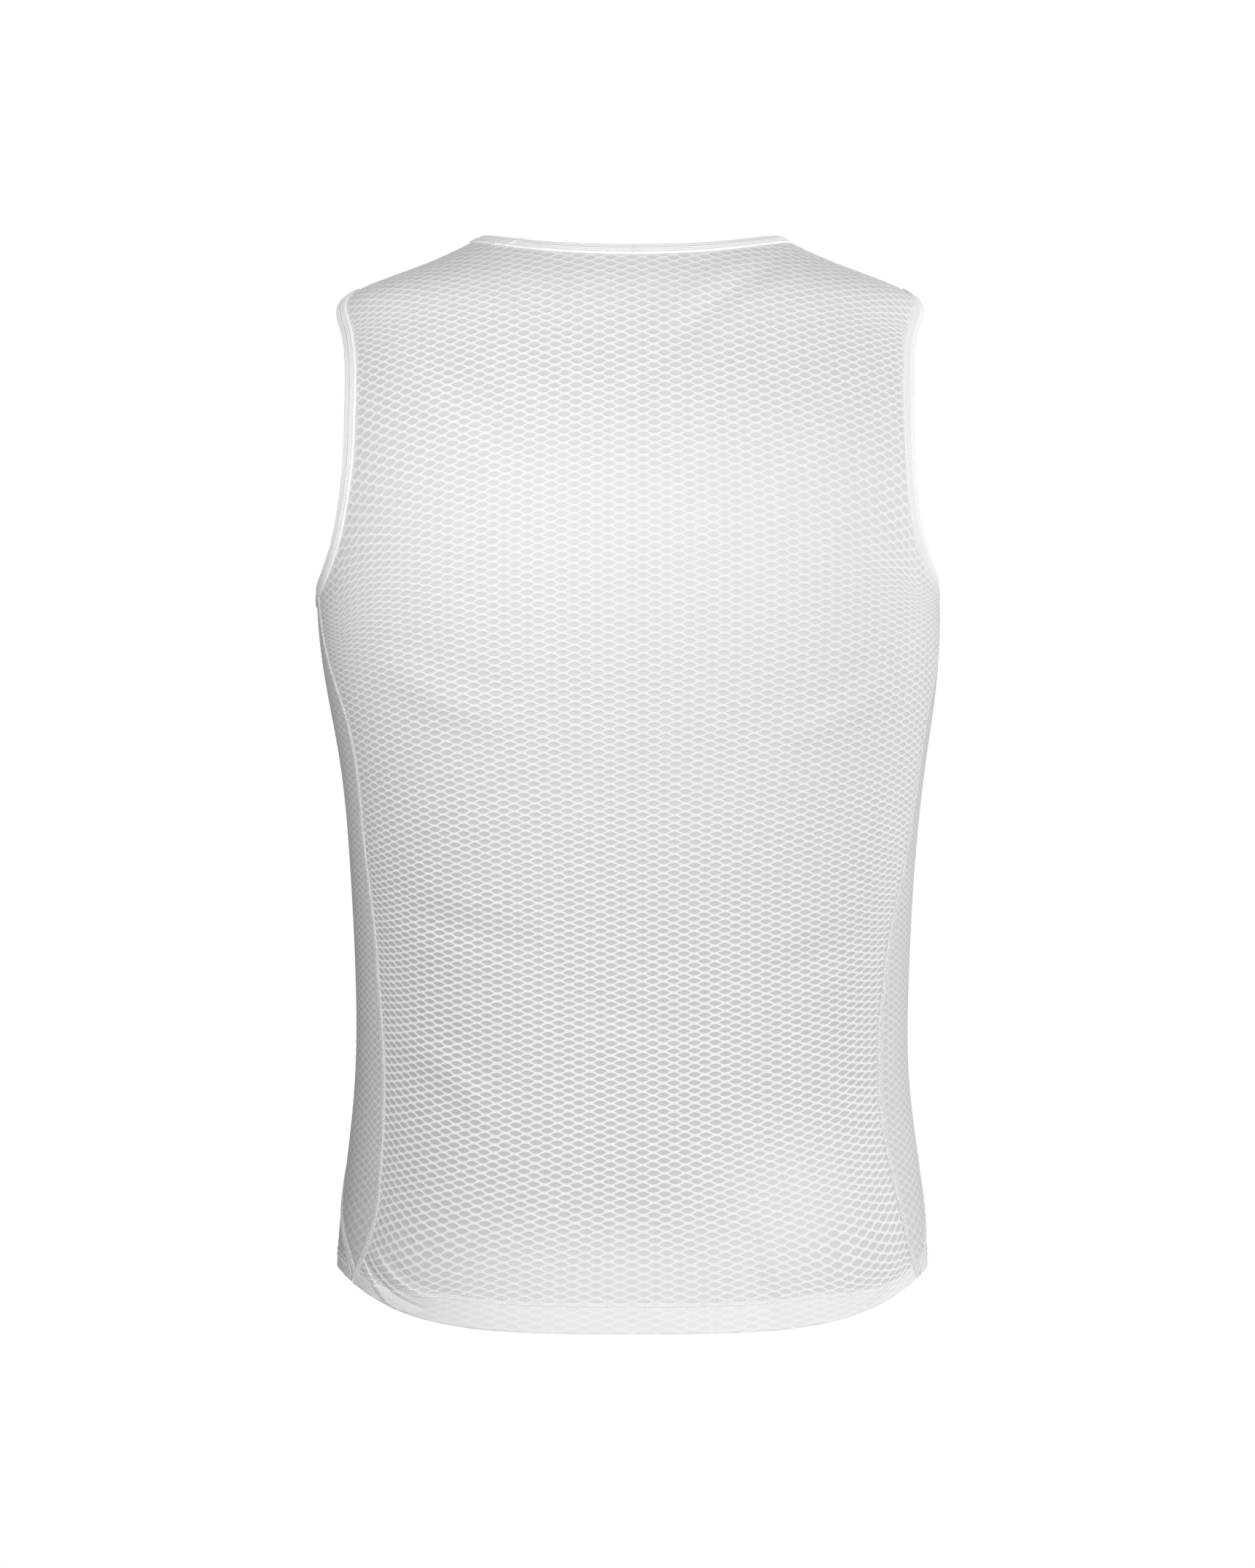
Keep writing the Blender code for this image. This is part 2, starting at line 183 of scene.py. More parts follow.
def outward(angle, height, side, step=0.2):
    # the unit normal: the cross product of a short step up and a short step round
    turn = onBody(angle + step, height, side) - onBody(angle - step, height, side)
    rise = onBody(angle, height + step, side) - onBody(angle, height - step, side)
    return unit(np.asarray(side)[..., None] * np.cross(rise, turn))


# soft folds: on the back or front, from one place to another across and up, with a bow, a width and a
# height out of the cloth, troughs below zero
foldNames = ("behind", "fromX", "fromZ", "toX", "toZ", "bow", "width", "rise")
folds = (
    (1, 74, -28, 12, -100, -4, 11, -1.5),
    (1, -86, -22, -18, -82, 6, 10, -1.4),
    (1, -22, -78, 2, -112, 3, 9, -0.9),
    (1, 132, -70, 60, -150, -8, 16, -0.9),
    (1, -138, -84, -70, -158, 7, 15, -0.8),
    (1, 150, -250, 60, -292, 6, 15, 0.9),
    (1, -152, -262, -84, -300, -5, 13, 0.8),
    (1, 140, -392, 48, -418, 4, 14, -1.0),
    (1, -142, -404, -66, -436, -5, 15, -0.9),
    (1, 36, -452, -64, -466, 3, 16, -0.8),
    (1, 138, -470, 78, -520, -6, 13, 0.8),
    (1, -76, -566, -92, -632, 3, 9, 1.5),
    (1, -108, -560, -120, -618, -3, 9, -0.8),
    (1, 156, -596, 116, -625, 7, 2.3, -1.7),
    (1, 150, -592, 108, -619, 7, 4.0, 1.3),
    (1, 150, -608, 122, -628, 6, 2.2, 0.8),
    (1, -156, -604, -136, -624, 2, 4.2, 0.9),
    (0, 78, -60, 30, -128, -5, 12, -1.3),
    (0, -74, -54, -24, -120, 4, 11, -1.4),
    (0, 140, -214, 66, -262, 6, 17, -1.1),
    (0, -136, -206, -74, -268, -7, 15, -1.0),
    (0, 130, -388, 40, -420, 5, 15, -0.9),
    (0, -134, -402, -52, -428, -4, 14, -1.0),
    (0, 62, -470, -38, -482, 4, 16, -0.8),
    (0, 98, -556, 112, -612, 3, 9, 1.3),
    (0, -60, -560, -74, -614, -3, 8, 1.1),
    (0, -146, -588, -122, -606, 3, 4, 0.9),
)


def foldRise(points, angle):
    # for each fold: rise times (1 - 2 d squared) times e to the minus d squared, with d the distance from
    # its bowed line over its width, and fading to both ends as a sine to the power 0.8
    total = np.zeros(points.shape[:-1])
    behind = np.cos(np.radians(angle)) >= 0
    for row in folds:
        f = dict(zip(foldNames, row))
        run = np.array([f["toX"] - f["fromX"], f["toZ"] - f["fromZ"]], float)
        length = np.hypot(*run)
        run /= length
        x, z = points[..., 0] - f["fromX"], points[..., 2] - f["fromZ"]
        share = np.clip((x * run[0] + z * run[1]) / length, 0, 1)
        off = (z * run[0] - x * run[1] - f["bow"] * 4 * share * (1 - share)) / f["width"]
        shape = (1 - 2 * off**2) * np.exp(-(off**2)) * np.sin(np.pi * share) ** 0.8
        total += np.where(behind == bool(f["behind"]), f["rise"] * shape, 0)
    return total


def onCloth(angle, height, side, lift=0.0):
    # the body's point moved out along its normal by the folds and by a lift of its own
    points = onBody(angle, height, side)
    rise = foldRise(points, angle) + lift
    return points + outward(angle, height, side) * rise[..., None]


def hemHeight(angle):
    # a drop tail: the foot less the tail times (1 - the share of the way to the side, to a power), eased
    fromCentre = np.minimum(angle, 180 - angle) / 90
    tail = np.where(angle < 90, cut["tailBack"], cut["tailFront"])
    return cut["hemFoot"] - tail * (1 - np.clip(fromCentre, 0, 1) ** cut["tailPower"]) ** cut["tailEase"]


# the line that the hem is sewn along, above its folded edge, and the ramp from the hem to the open knit
hemLine = {"centre": 17.6, "narrows": 8.6, "from": 33.0, "over": 29.0, "ramp": 1.5}


def hemTurn(angle):
    # the turned-up width, which narrows from the centre to the side seams as a smooth step
    share = (np.minimum(angle, 180 - angle) - hemLine["from"]) / hemLine["over"]
    return hemLine["centre"] - hemLine["narrows"] * smoothStep(share)


def hemShare(angle, height):
    # 1 on the turned-up hem and 0 above it, with a short ramp between
    above = (height - hemHeight(angle) - hemTurn(angle)) / hemLine["ramp"]
    return np.clip(0.5 - above, 0, 1)


def spaced(curve, side, step):
    # points of an angle and height curve at even steps on the body
    along = runAlong(onBody(curve[:, 0], curve[:, 1], side))
    at = np.linspace(0, along[-1], max(2, int(round(along[-1] / step)) + 1))
    return np.stack([np.interp(at, along, curve[:, k]) for k in range(2)], axis=1)


def closedCurve(points, perSpan=40):
    # Catmull-Rom spans through a closed list of points
    knots = np.array(points, float)
    before, after, beyond = (np.roll(knots, shift, axis=0) for shift in (1, -1, -2))
    t = np.linspace(0, 1, perSpan, endpoint=False)[:, None, None]
    linear = (after - before) * t
    square = (2 * before - 5 * knots + 4 * after - beyond) * t**2
    cube = (3 * knots - before - 3 * after + beyond) * t**3
    curve = (2 * knots + linear + square + cube) / 2
    return curve.transpose(1, 0, 2).reshape(-1, 2)


def sideEdges(side):
    # every seam and edge of one side as a dense curve of angle and height
    knots = np.array(armhole, float)
    share = (knots[:, 1] - cut["lowerFrom"]) / (cut["lowerTo"] - cut["lowerFrom"])
    knots[:, 1] -= (cut["leftArmholeLower"] if side > 0 else 0) * np.clip(share, 0, 1)
    loop = closedCurve(knots)
    hand = "Left" if side > 0 else "Right"
    back, front = seamAngle["back" + hand], seamAngle["front" + hand]
    under = int(np.argmin(loop[:, 1]))
    low = loop[:, 1] < loop[:, 1].mean()
    places = np.arange(len(loop))

    def crossing(seam, wanted):
        # the place on the armhole's lower half where it comes nearest to a seam
        miss = np.where(low & wanted, np.abs(loop[:, 0] - seam(loop[:, 1])), np.inf)
        return int(np.argmin(miss))

    first, last = crossing(back, places < under), crossing(front, places >= under)
    closed = np.vstack([loop, loop[:1]])

    def seamCurve(angleAt, top):
        # a seam from the hem to its place on the armhole, moved over by the square of the way up to end there
        foot = cut["hemFoot"]
        for _ in range(8):
            foot = float(hemHeight(angleAt(foot)))
        height = np.linspace(foot, top[1], 500)
        easeFrom = foot + cut["hemTurnUp"]
        ease = np.clip((height - easeFrom) / (top[1] - easeFrom), 0, 1) ** 2
        angle = angleAt(height)
        return np.stack([angle + ease * (top[0] - angle[-1]), height], axis=1)

    return {
        "backArmhole": closed[: first + 1][::-1],
        "underArm": closed[first : last + 1],
        "frontArmhole": closed[last:],
        "backSeam": seamCurve(back, closed[first]),
        "frontSeam": seamCurve(front, closed[last]),
        "shoulder": np.linspace([cut["shoulderAngle"], cut["neckSideHeight"]], loop[0], 200),
        "loop": loop,
    }


def neckline(side, behind):
    # behind, the drop times the cosine to a power; in front, half an ellipse
    share = np.linspace(0, 1, 400)
    turn = share * np.pi / 2
    if behind:
        height = cut["neckSideHeight"] - cut["neckDropBack"] * np.cos(turn) ** cut["neckBackPower"]
        return np.stack([cut["shoulderAngle"] * share, height], axis=1)
    height = cut["neckSideHeight"] - cut["neckDropFront"] * np.cos(turn)
    half = ring["halfLeft"](height) if side > 0 else ring["halfRight"](height)
    angle = 180 - np.degrees(np.arcsin(np.clip(cut["neckHalfWidth"] * np.sin(turn) / half, 0, 1)))
    keep = angle > cut["shoulderAngle"]
    curve = np.stack([angle[keep], height[keep]], axis=1)
    return np.vstack([curve, [cut["shoulderAngle"], cut["neckSideHeight"]]])


edges = {1: sideEdges(1), -1: sideEdges(-1)}
print("worn shape and cut ready")

# Mesh helpers: each piece is made of numpy points in millimetres.


def makeMesh(name, points, faces, material, uv=None, look=None):
    # points, and one array of faces for each number of corners
    mesh = bpy.data.meshes.new(name)
    groups = [np.asarray(g, np.int32) for g in faces if len(g)]
    corners = np.concatenate([g.ravel() for g in groups])
    sizes = np.concatenate([np.full(len(g), g.shape[1], np.int32) for g in groups])
    mesh.vertices.add(len(points))
    mesh.vertices.foreach_set("co", (np.asarray(points) * mm).astype(np.float32).ravel())
    mesh.loops.add(len(corners))
    mesh.loops.foreach_set("vertex_index", corners)
    mesh.polygons.add(len(sizes))
    mesh.polygons.foreach_set("loop_start", np.concatenate([[0], np.cumsum(sizes)[:-1]]).astype(np.int32))
    mesh.update(calc_edges=True)
    if uv is not None:
        layer = mesh.uv_layers.new(name="clothMap")
        layer.data.foreach_set("uv", np.asarray(uv, np.float32)[corners].ravel())
    if look is not None:
        look = np.asarray(look, np.float32)
        layer = mesh.attributes.new("clothLook", "FLOAT_VECTOR", "POINT")
        layer.data.foreach_set("vector", look[:, :3].ravel())
        # the pits' strength by region, which paints light and shade
        layer = mesh.attributes.new("paintedLightPitShow", "FLOAT", "POINT")
        layer.data.foreach_set("value", look[:, 3].ravel())
    mesh.validate()
    mesh.shade_smooth()
    mesh.set_sharp_from_angle(angle=np.radians(sharpAngle))
    mesh.materials.append(material)
    piece = bpy.data.objects.new(name, mesh)
    bpy.context.scene.collection.objects.link(piece)
    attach(piece, body)
    return piece


def pathFrames(path, closed):
    # points of a path on the cloth, the way along it, the way past its edge and the way out
    angle, height, side = path.T
    points = onCloth(angle, height, side)
    normal = outward(angle, height, side)
    if closed:
        along = unit(np.roll(points, -1, axis=0) - np.roll(points, 1, axis=0))
    else:
        along = unit(np.gradient(points, axis=0))
    return points, along, unit(np.cross(along, normal)), normal


def framesAt(frames, run, at):
    # a path's frames read between its points, at given lengths along it
    return [np.stack([np.interp(at, run, a[:, k]) for k in range(3)], axis=-1) for a in frames]


def tubeFaces(count, sides, closed):
    # quads between neighbouring rings, and a face on each end unless the tube closes on itself
    index = np.arange(count * sides).reshape(count, sides)
    here, there = (index, np.roll(index, -1, axis=0)) if closed else (index[:-1], index[1:])
    quads = np.stack([here, there, np.roll(there, -1, axis=1), np.roll(here, -1, axis=1)], axis=-1)
    return [quads.reshape(-1, 4)] + ([] if closed else [index[:1], index[-1:, ::-1]])


def sweep(name, path, section, material, closed):
    # a closed section of (past the edge, out) corners carried along a path; UV in millimetres
    points, _, past, normal = pathFrames(path, closed)
    rows = points[:, None] + past[:, None] * section[:, :1] + normal[:, None] * section[:, 1:]
    run, across = np.broadcast_arrays(runAlong(points)[:, None], section[:, 0])
    uv = np.stack([run, across], axis=-1).reshape(-1, 2)
    return makeMesh(name, rows.reshape(-1, 3), tubeFaces(*run.shape, closed), material, uv=uv)


def threadTube(name, points, normal, radius, material, sides=5):
    # an open polyline carried by a small round section, with its ends closed
    along = unit(np.gradient(points, axis=0))
    past = unit(np.cross(along, normal))
    out = np.cross(past, along)
    turn = np.linspace(0, 2 * np.pi, sides, endpoint=False)[:, None]
    rows = points[:, None] + radius * (past[:, None] * np.cos(turn) + out[:, None] * np.sin(turn))
    return makeMesh(name, rows.reshape(-1, 3), tubeFaces(len(points), sides, False), material)


def grains(name, centres, along, past, normal, size, material):
    # one stitch at each centre: a rice grain of three rings of four, pinched to a point at both ends
    length, width, thick = size
    turn = np.radians([0, 90, 180, 270])
    swell = np.array([[0.75], [1.0], [0.75]])
    ringX = np.repeat([-0.35, 0.0, 0.35], 4) * length
    ringY = (swell * np.cos(turn)).ravel() * width / 2
    ringZ = (swell * np.sin(turn)).ravel() * thick / 2
    tips = [[-length / 2, 0, -thick / 4], [length / 2, 0, -thick / 4]]
    template = np.vstack([np.stack([ringX, ringY, ringZ], axis=1), tips])
    points = centres[:, None] + template @ np.stack([along, past, normal], axis=1)
    pairs = [(i, (i + 1) % 4) for i in range(4)]
    quads = [(k + i, k + 4 + i, k + 4 + j, k + j) for k in (0, 4) for i, j in pairs]
    tris = [three for i, j in pairs for three in ((12, i, j), (13, 8 + j, 8 + i))]
    shift = (np.arange(len(centres)) * len(template))[:, None, None]
    faces = [(np.array(group) + shift).reshape(-1, len(group[0])) for group in (quads, tris)]
    return makeMesh(name, points.reshape(-1, 3), faces, material)


def stitchRow(path, pitch, offsets, lift):
    # centres and frames of stitches along a path, at one or more distances past it; each further row starts
    # 0.37 of a stitch later
    frames = pathFrames(path, False)
    run = runAlong(frames[0])
    parts = []
    for k, offset in enumerate(offsets):
        at = np.arange(pitch * (0.5 + 0.37 * k), run[-1], pitch)
        points, along, past, normal = framesAt(frames, run, at)
        along = unit(along)
        parts.append((points + past * offset + normal * lift, along, np.cross(normal, along), normal))
    return [np.concatenate(group) for group in zip(*parts)]


# Materials: every colour is an sRGB hex value, and every scale comes from a real size.


def linear(hexColour):
    # sRGB hex to linear light: over 12.92 near black, else ((c + 0.055) / 1.055) to the power 2.4
    parts = [int(hexColour[k : k + 2], 16) / 255 for k in (1, 3, 5)]
    light = [c / 12.92 if c <= 0.04045 else ((c + 0.055) / 1.055) ** 2.4 for c in parts]
    return (*light, 1.0)


def setInputs(tree, node, inputs):
    # inputs by name or number: a socket is linked, and anything else is set as a plain value
    for key, value in inputs.items():
        if isinstance(value, bpy.types.NodeSocket):
            tree.links.new(value, node.inputs[key])
        else:
            node.inputs[key].default_value = value


def addNode(tree, kind, inputs, **settings):
    # one node with its settings and its inputs
    node = tree.nodes.new("ShaderNode" + kind)
    for key, value in settings.items():
        setattr(node, key, value)
    setInputs(tree, node, inputs)
    return node


def newMaterial(name):
    # a material with its node tree and its shader
    material = bpy.data.materials.new(name)
    material.use_nodes = True
    return material, material.node_tree, material.node_tree.nodes["Principled BSDF"]


net = {
    "halfWidth": 0.305,  # a pit's half width and half height, as shares of the wale and course spacing
    "halfHeight": 0.34,
    "crest": 0.15,  # millimetres of the corners, the rims and the floors above the cloth's own surface
    "rim": 0.04,
    "floor": -0.32,
    "hemRelief": 0.3,  # the share of that relief on the doubled hem, and on the side panels
    "sideRelief": 0.7,
    "foldOuter": 0.55,  # how far the two faces draw together on the hem's fold
    "foldInner": 0.45,
    "fadeFrom": 0.6,  # the relief fades out this near to a cut edge, over this far
    "fadeOver": 2.2,
    "nearEdge": 12.0,  # only pits this near to the outline are tested against it
    "ridgeColour": "#EFEFEF",
    "sideTint": "#DEDEDF",
    # the pits' grey and their dots' deeper grey are painted shade: the garment's shaded inside seen through
    # the openwork
    "pitPaintedShade": "#C6C6C7",
    "pitDotsPaintedShade": "#98999B",
    "pitEdge": (0.82, 1.14),  # a pit's edge is soft between these measures, with teeth this deep
    "toothDepth": 0.16,
    "pitRound": (1.9, 1.35),  # the powers of the measure, across and up
    "toothPerWale": 14.0,  # loops of 0.85 mm, drawn twice as coarse as the real ones to show
    "dotPerWale": 12.0,  # holes of 0.5 mm, drawn coarse too
    "dotPerCourse": 4.0,
    "dotEdge": (0.0, 0.8),
    "hemFade": 0.74,
    "ribLean": 0.35,
    "fuzzScale": 900.0,  # fibres of about 1.1 mm, the finest that shows
    "ribBump": 0.08,
    "fuzzBump": 0.35,
    "holeBump": 0.5,
    "bump": 0.3,
    "roughness": 0.78,
}


def meshKnitMaterial(name, tint):
    # warp-knitted polyester eyelet mesh: matt white ridges, and finely pierced pits with toothed edges, whose
    # grey and the deeper grey of their dots are painted shade of the garment's shaded inside seen through the
    # openwork.
    # A pit's measure is x over its half width and y over its half height, each to its own power, added up
    material, tree, shader = newMaterial(name)
    uv = addNode(tree, "UVMap", {}, uv_map="clothMap").outputs[0]
    place = addNode(tree, "SeparateXYZ", {0: uv}).outputs
    look = addNode(tree, "Attribute", {}, attribute_name="clothLook").outputs["Vector"]
    looks = addNode(tree, "SeparateXYZ", {0: look}).outputs
    # the pits' strength by region, which paints light and shade on the cloth
    show = addNode(tree, "Attribute", {}, attribute_name="paintedLightPitShow").outputs["Fac"]
    coords = addNode(tree, "TexCoord", {}).outputs["Object"]
    fuzz = addNode(tree, "TexNoise", {"Vector": coords, "Scale": net["fuzzScale"], "Detail": 2.0}).outputs[0]
    made = {
        "wale": place[0], "course": place[1], "openShare": looks[0], "hem": looks[1], "edge": looks[2],
        "show": show, "fuzz": fuzz,
    }
    full = 2 * np.pi
    # each sum is a result, an operation and two numbers, where a word stands for an earlier result
    sums = [("halfHeight", "MULTIPLY", "openShare", net["halfHeight"])]
    for shift in (0.0, 0.5):  # the two sets of pits, half a wale and half a course apart
        for way, half, power in zip(("wale", "course"), (net["halfWidth"], "halfHeight"), net["pitRound"]):
            sums += [
                ("moved", "ADD", way, shift),
                ("whole", "ROUND", "moved", 0.0),
                ("off", "SUBTRACT", "moved", "whole"),
                ("off", "ABSOLUTE", "off", 0.0),
                ("off", "DIVIDE", "off", half),
                (f"{way}{shift}", "POWER", "off", power),
            ]
        sums.append((f"pit{shift}", "ADD", f"wale{shift}", f"course{shift}"))
    sums += [
        ("inside", "MINIMUM", "pit0.0", "pit0.5"),
        ("tooth", "MULTIPLY", "wale", full * net["toothPerWale"]),
        ("tooth", "SINE", "tooth", 0.0),
        ("tooth", "MULTIPLY", "tooth", net["toothDepth"]),
        ("inside", "ADD", "inside", "tooth"),
        ("waleWave", "MULTIPLY", "wale", full * net["dotPerWale"]),
        ("waleWave", "SINE", "waleWave", 0.0),
        ("courseWave", "MULTIPLY", "course", full * net["dotPerCourse"]),
        ("courseWave", "SINE", "courseWave", 0.0),
        ("pierced", "MULTIPLY", "waleWave", "courseWave"),
    ]
    for result, operation, a, b in sums:
        inputs = {0: made.get(a, a), 1: made.get(b, b)}
        made[result] = addNode(tree, "Math", inputs, operation=operation).outputs[0]
    # a pit fades from 1 to 0 over its soft edge, and the dots from 0 to 1
    for result, start, (low, high), first in (
        ("pit", "inside", net["pitEdge"], 1.0), ("dots", "pierced", net["dotEdge"], 0.0),
    ):
        ends = {"Value": made[start], "From Min": low, "From Max": high, "To Min": first, "To Max": 1 - first}
        made[result] = addNode(tree, "MapRange", ends, interpolation_type="SMOOTHSTEP").outputs[0]
    # the pits show less on the hem and at cut edges; the height is the pits' walls, the yarn's slanting ribs
    # with a little noise, and the pierced dots
    for result, operation, a, b in (
        ("soft", "MULTIPLY", "hem", net["hemFade"]),
        ("soft", "SUBTRACT", 1.0, "soft"),
        ("strength", "MULTIPLY", "pit", "soft"),
        ("strength", "MULTIPLY", "strength", "edge"),
        ("shown", "MULTIPLY", "strength", "show"),
        ("rib", "MULTIPLY", "course", net["ribLean"]),
        ("rib", "ADD", "wale", "rib"),
        ("rib", "MULTIPLY", "rib", full * net["toothPerWale"]),
        ("rib", "SINE", "rib", 0.0),
        ("rib", "MULTIPLY", "rib", net["ribBump"]),
        ("fuzz", "MULTIPLY", "fuzz", net["fuzzBump"]),
        ("yarn", "ADD", "rib", "fuzz"),
        ("wall", "MULTIPLY", "strength", -1.0),
        ("height", "ADD", "wall", "yarn"),
        ("hole", "MULTIPLY", "dots", "strength"),
        ("hole", "MULTIPLY", "hole", net["holeBump"]),
        ("height", "SUBTRACT", "height", "hole"),
    ):
        inputs = {0: made.get(a, a), 1: made.get(b, b)}
        made[result] = addNode(tree, "Math", inputs, operation=operation).outputs[0]
    # the pits' grey and dots paint the shade of the inside seen through the holes; their strength by region
    # paints light and shade
    shades = {"Factor": made["dots"], 6: linear(net["pitPaintedShade"]), 7: linear(net["pitDotsPaintedShade"])}
    pitShade = addNode(tree, "Mix", shades, data_type="RGBA").outputs[2]
    shades = {"Factor": made["shown"], 6: linear(tint), 7: pitShade}
    colour = addNode(tree, "Mix", shades, data_type="RGBA").outputs[2]
    bump = addNode(tree, "Bump", {"Height": made["height"], "Strength": net["bump"], "Distance": 0.0002})
    setInputs(tree, shader, {
        "Base Color": colour, "Normal": bump.outputs[0], "Roughness": net["roughness"],
        "Specular IOR Level": 0.3, "Sheen Weight": 0.12, "Sheen Roughness": 0.5,
    })
    return material


tapeFace = {
    "ridge": 0.2,  # millimetres from the raw edge to the first stitched ridge, and from ridge to ridge
    "apart": 1.65,
    "from": -0.35,  # where the stitched part starts and ends
    "to": 4.6,
    "wave": 2.4,  # the ribs' lean across the tape
    "reach": 0.5,
    "fuzzScale": 1100.0,  # fibres of 0.9 mm, and flecks of 1.3 mm, both drawn coarse
    "fleckScale": 780.0,
    "fleckEdge": (0.42, 0.62),
    "fuzzBump": 0.5,
    "bump": 0.5,
    "roughness": 0.62,
}


def tapeMaterial(name, tint, shade, ribMm, ribDepth, speckle, grooveShade):
    # folded elastic tape: soft satin white with fine cross ribs, flecked grey, and painted shade between its
    # ridges as the cube of (1 - cosine) / 2
    material, tree, shader = newMaterial(name)
    uv = addNode(tree, "UVMap", {}, uv_map="clothMap").outputs[0]
    place = addNode(tree, "SeparateXYZ", {0: uv}).outputs
    coords = addNode(tree, "TexCoord", {}).outputs["Object"]
    fuzz, speck = (
        addNode(tree, "TexNoise", {"Vector": coords, "Scale": tapeFace[scale], "Detail": detail}).outputs[0]
        for scale, detail in (("fuzzScale", 3.0), ("fleckScale", 1.0))
    )
    low, high = tapeFace["fleckEdge"]
    ends = {"Value": speck, "From Min": low, "From Max": high, "To Min": 0.0, "To Max": speckle}
    flecks = addNode(tree, "MapRange", ends).outputs[0]
    made = {"run": place[0], "across": place[1], "fuzz": fuzz, "flecks": flecks}
    for result, operation, a, b in (
        ("lean", "MULTIPLY", "across", tapeFace["wave"]),
        ("lean", "SINE", "lean", 0.0),
        ("lean", "ABSOLUTE", "lean", 0.0),
        ("lean", "MULTIPLY", "lean", tapeFace["reach"]),
        ("lean", "ADD", "run", "lean"),
        ("rib", "MULTIPLY", "lean", 2 * np.pi / ribMm),
        ("rib", "SINE", "rib", 0.0),
        ("turn", "SUBTRACT", "across", tapeFace["ridge"]),
        ("turn", "MULTIPLY", "turn", 2 * np.pi / tapeFace["apart"]),
        ("turn", "COSINE", "turn", 0.0),
        # painted shade midway between the stitched ridges
        ("between", "SUBTRACT", 1.0, "turn"),
        ("between", "MULTIPLY", "between", 0.5),
        ("between", "POWER", "between", 3.0),
        ("after", "GREATER_THAN", "across", tapeFace["from"]),
        ("before", "LESS_THAN", "across", tapeFace["to"]),
        ("stitched", "MULTIPLY", "after", "before"),
        ("paintedGrooveShade", "MULTIPLY", "between", "stitched"),
        ("paintedGrooveShade", "MULTIPLY", "paintedGrooveShade", grooveShade),
        ("flecksAndPaintedShade", "MAXIMUM", "flecks", "paintedGrooveShade"),
        ("rib", "MULTIPLY", "rib", ribDepth),
        ("fuzz", "MULTIPLY", "fuzz", tapeFace["fuzzBump"]),
        ("height", "ADD", "rib", "fuzz"),
    ):
        inputs = {0: made.get(a, a), 1: made.get(b, b)}
        made[result] = addNode(tree, "Math", inputs, operation=operation).outputs[0]
    shades = {"Factor": made["flecksAndPaintedShade"], 6: linear(tint), 7: linear(shade)}
    colour = addNode(tree, "Mix", shades, data_type="RGBA").outputs[2]
    bump = addNode(tree, "Bump", {"Height": made["height"], "Strength": tapeFace["bump"], "Distance": 0.0003})
    setInputs(tree, shader, {
        "Base Color": colour, "Normal": bump.outputs[0], "Roughness": tapeFace["roughness"],
        "Specular IOR Level": 0.35, "Sheen Weight": 0.1,
    })
    return material


def threadMaterial(name, tint, shade):
    # textured polyester sewing thread: bright white, with a slight gloss and a fine grey twist
    material, tree, shader = newMaterial(name)
    coords = addNode(tree, "TexCoord", {}).outputs["Object"]
    twist = addNode(tree, "TexNoise", {"Vector": coords, "Scale": 1500.0, "Detail": 1.0}).outputs[0]
    shades = {"Factor": twist, 6: linear(tint), 7: linear(shade)}
    colour = addNode(tree, "Mix", shades, data_type="RGBA").outputs[2]
    bump = addNode(tree, "Bump", {"Height": twist, "Strength": 0.3, "Distance": 0.0002})
    setInputs(tree, shader, {"Base Color": colour, "Normal": bump.outputs[0], "Roughness": 0.5})
    return material


bodyMesh = meshKnitMaterial("polyesterEyeletMesh", net["ridgeColour"])
sideMesh = meshKnitMaterial("polyesterSideMesh", net["sideTint"])
# tint and the grey of flecks and painted shade, then the ribs' spacing in millimetres and their depth, and
# the shares of flecks and of painted shade between the ridges
elasticTape = tapeMaterial("foldedElasticTape", "#FCFCFC", "#BFC1C3", 0.9, 0.35, 0.12, 0.75)
lappedTape = tapeMaterial("foldedElasticTapeEnd", "#F6F6F7", "#C4C6C8", 0.9, 0.35, 0.0, 0.2)
seamTape = tapeMaterial("flatlockSeamCover", "#F6F6F6", "#A4A5A6", 0.8, 0.8, 0.55, 0.0)
sewingThread = threadMaterial("polyesterSewingThread", "#FAFAFB", "#DFE1E4")
print("materials ready")

# The net: where each pit of the knit lies on the body.

# height, wale spacing, course spacing, how far a course is lifted at 45 degrees from the centre by the square
# of the angle and by its sixth power, and how much closer the wales stand at the side seam
gaugeNames = ("height", "wale", "course", "bow", "curl", "squeeze")
gauge = (
    (-650, 13.8, 4.3, 2.8, 0.8, 0.20),
    (-617, 13.6, 4.4, 3.4, 1.2, 0.30),
    (-592, 13.3, 4.75, 3.8, 1.35, 0.36),
    (-549, 12.4, 4.7, 3.8, 1.35, 0.36),
    (-463, 11.95, 4.45, 4.3, 1.1, 0.25),
    (-377, 11.95, 4.4, 1.0, 0.5, 0.15),
    (-291, 12.8, 4.5, 0.0, 0.0, 0.0),
    (-163, 13.2, 4.75, 0.0, 0.0, 0.0),
    (-112, 12.8, 4.75, -0.5, 0.0, 0.0),
    (-71, 12.4, 4.85, -2.2, 0.0, 0.0),
    (-50, 12.3, 5.2, -6.0, 0.0, 0.0),
    (-34, 12.2, 5.6, -10.0, 0.0, 0.0),
    (0, 12.2, 6.0, -12.0, 0.0, 0.0),
    (90, 12.2, 6.0, -12.0, 0.0, 0.0),
)
knit = columns(gauge, gaugeNames)
yokeHeight = -60.0  # above it each wale runs up level planes to the shoulder seam, as in the flat cut
# past a distance from the centre line the wales stand closer, over a run, and less on the right
squeeze = {"from": 118.0, "over": 45.0, "right": 0.15}
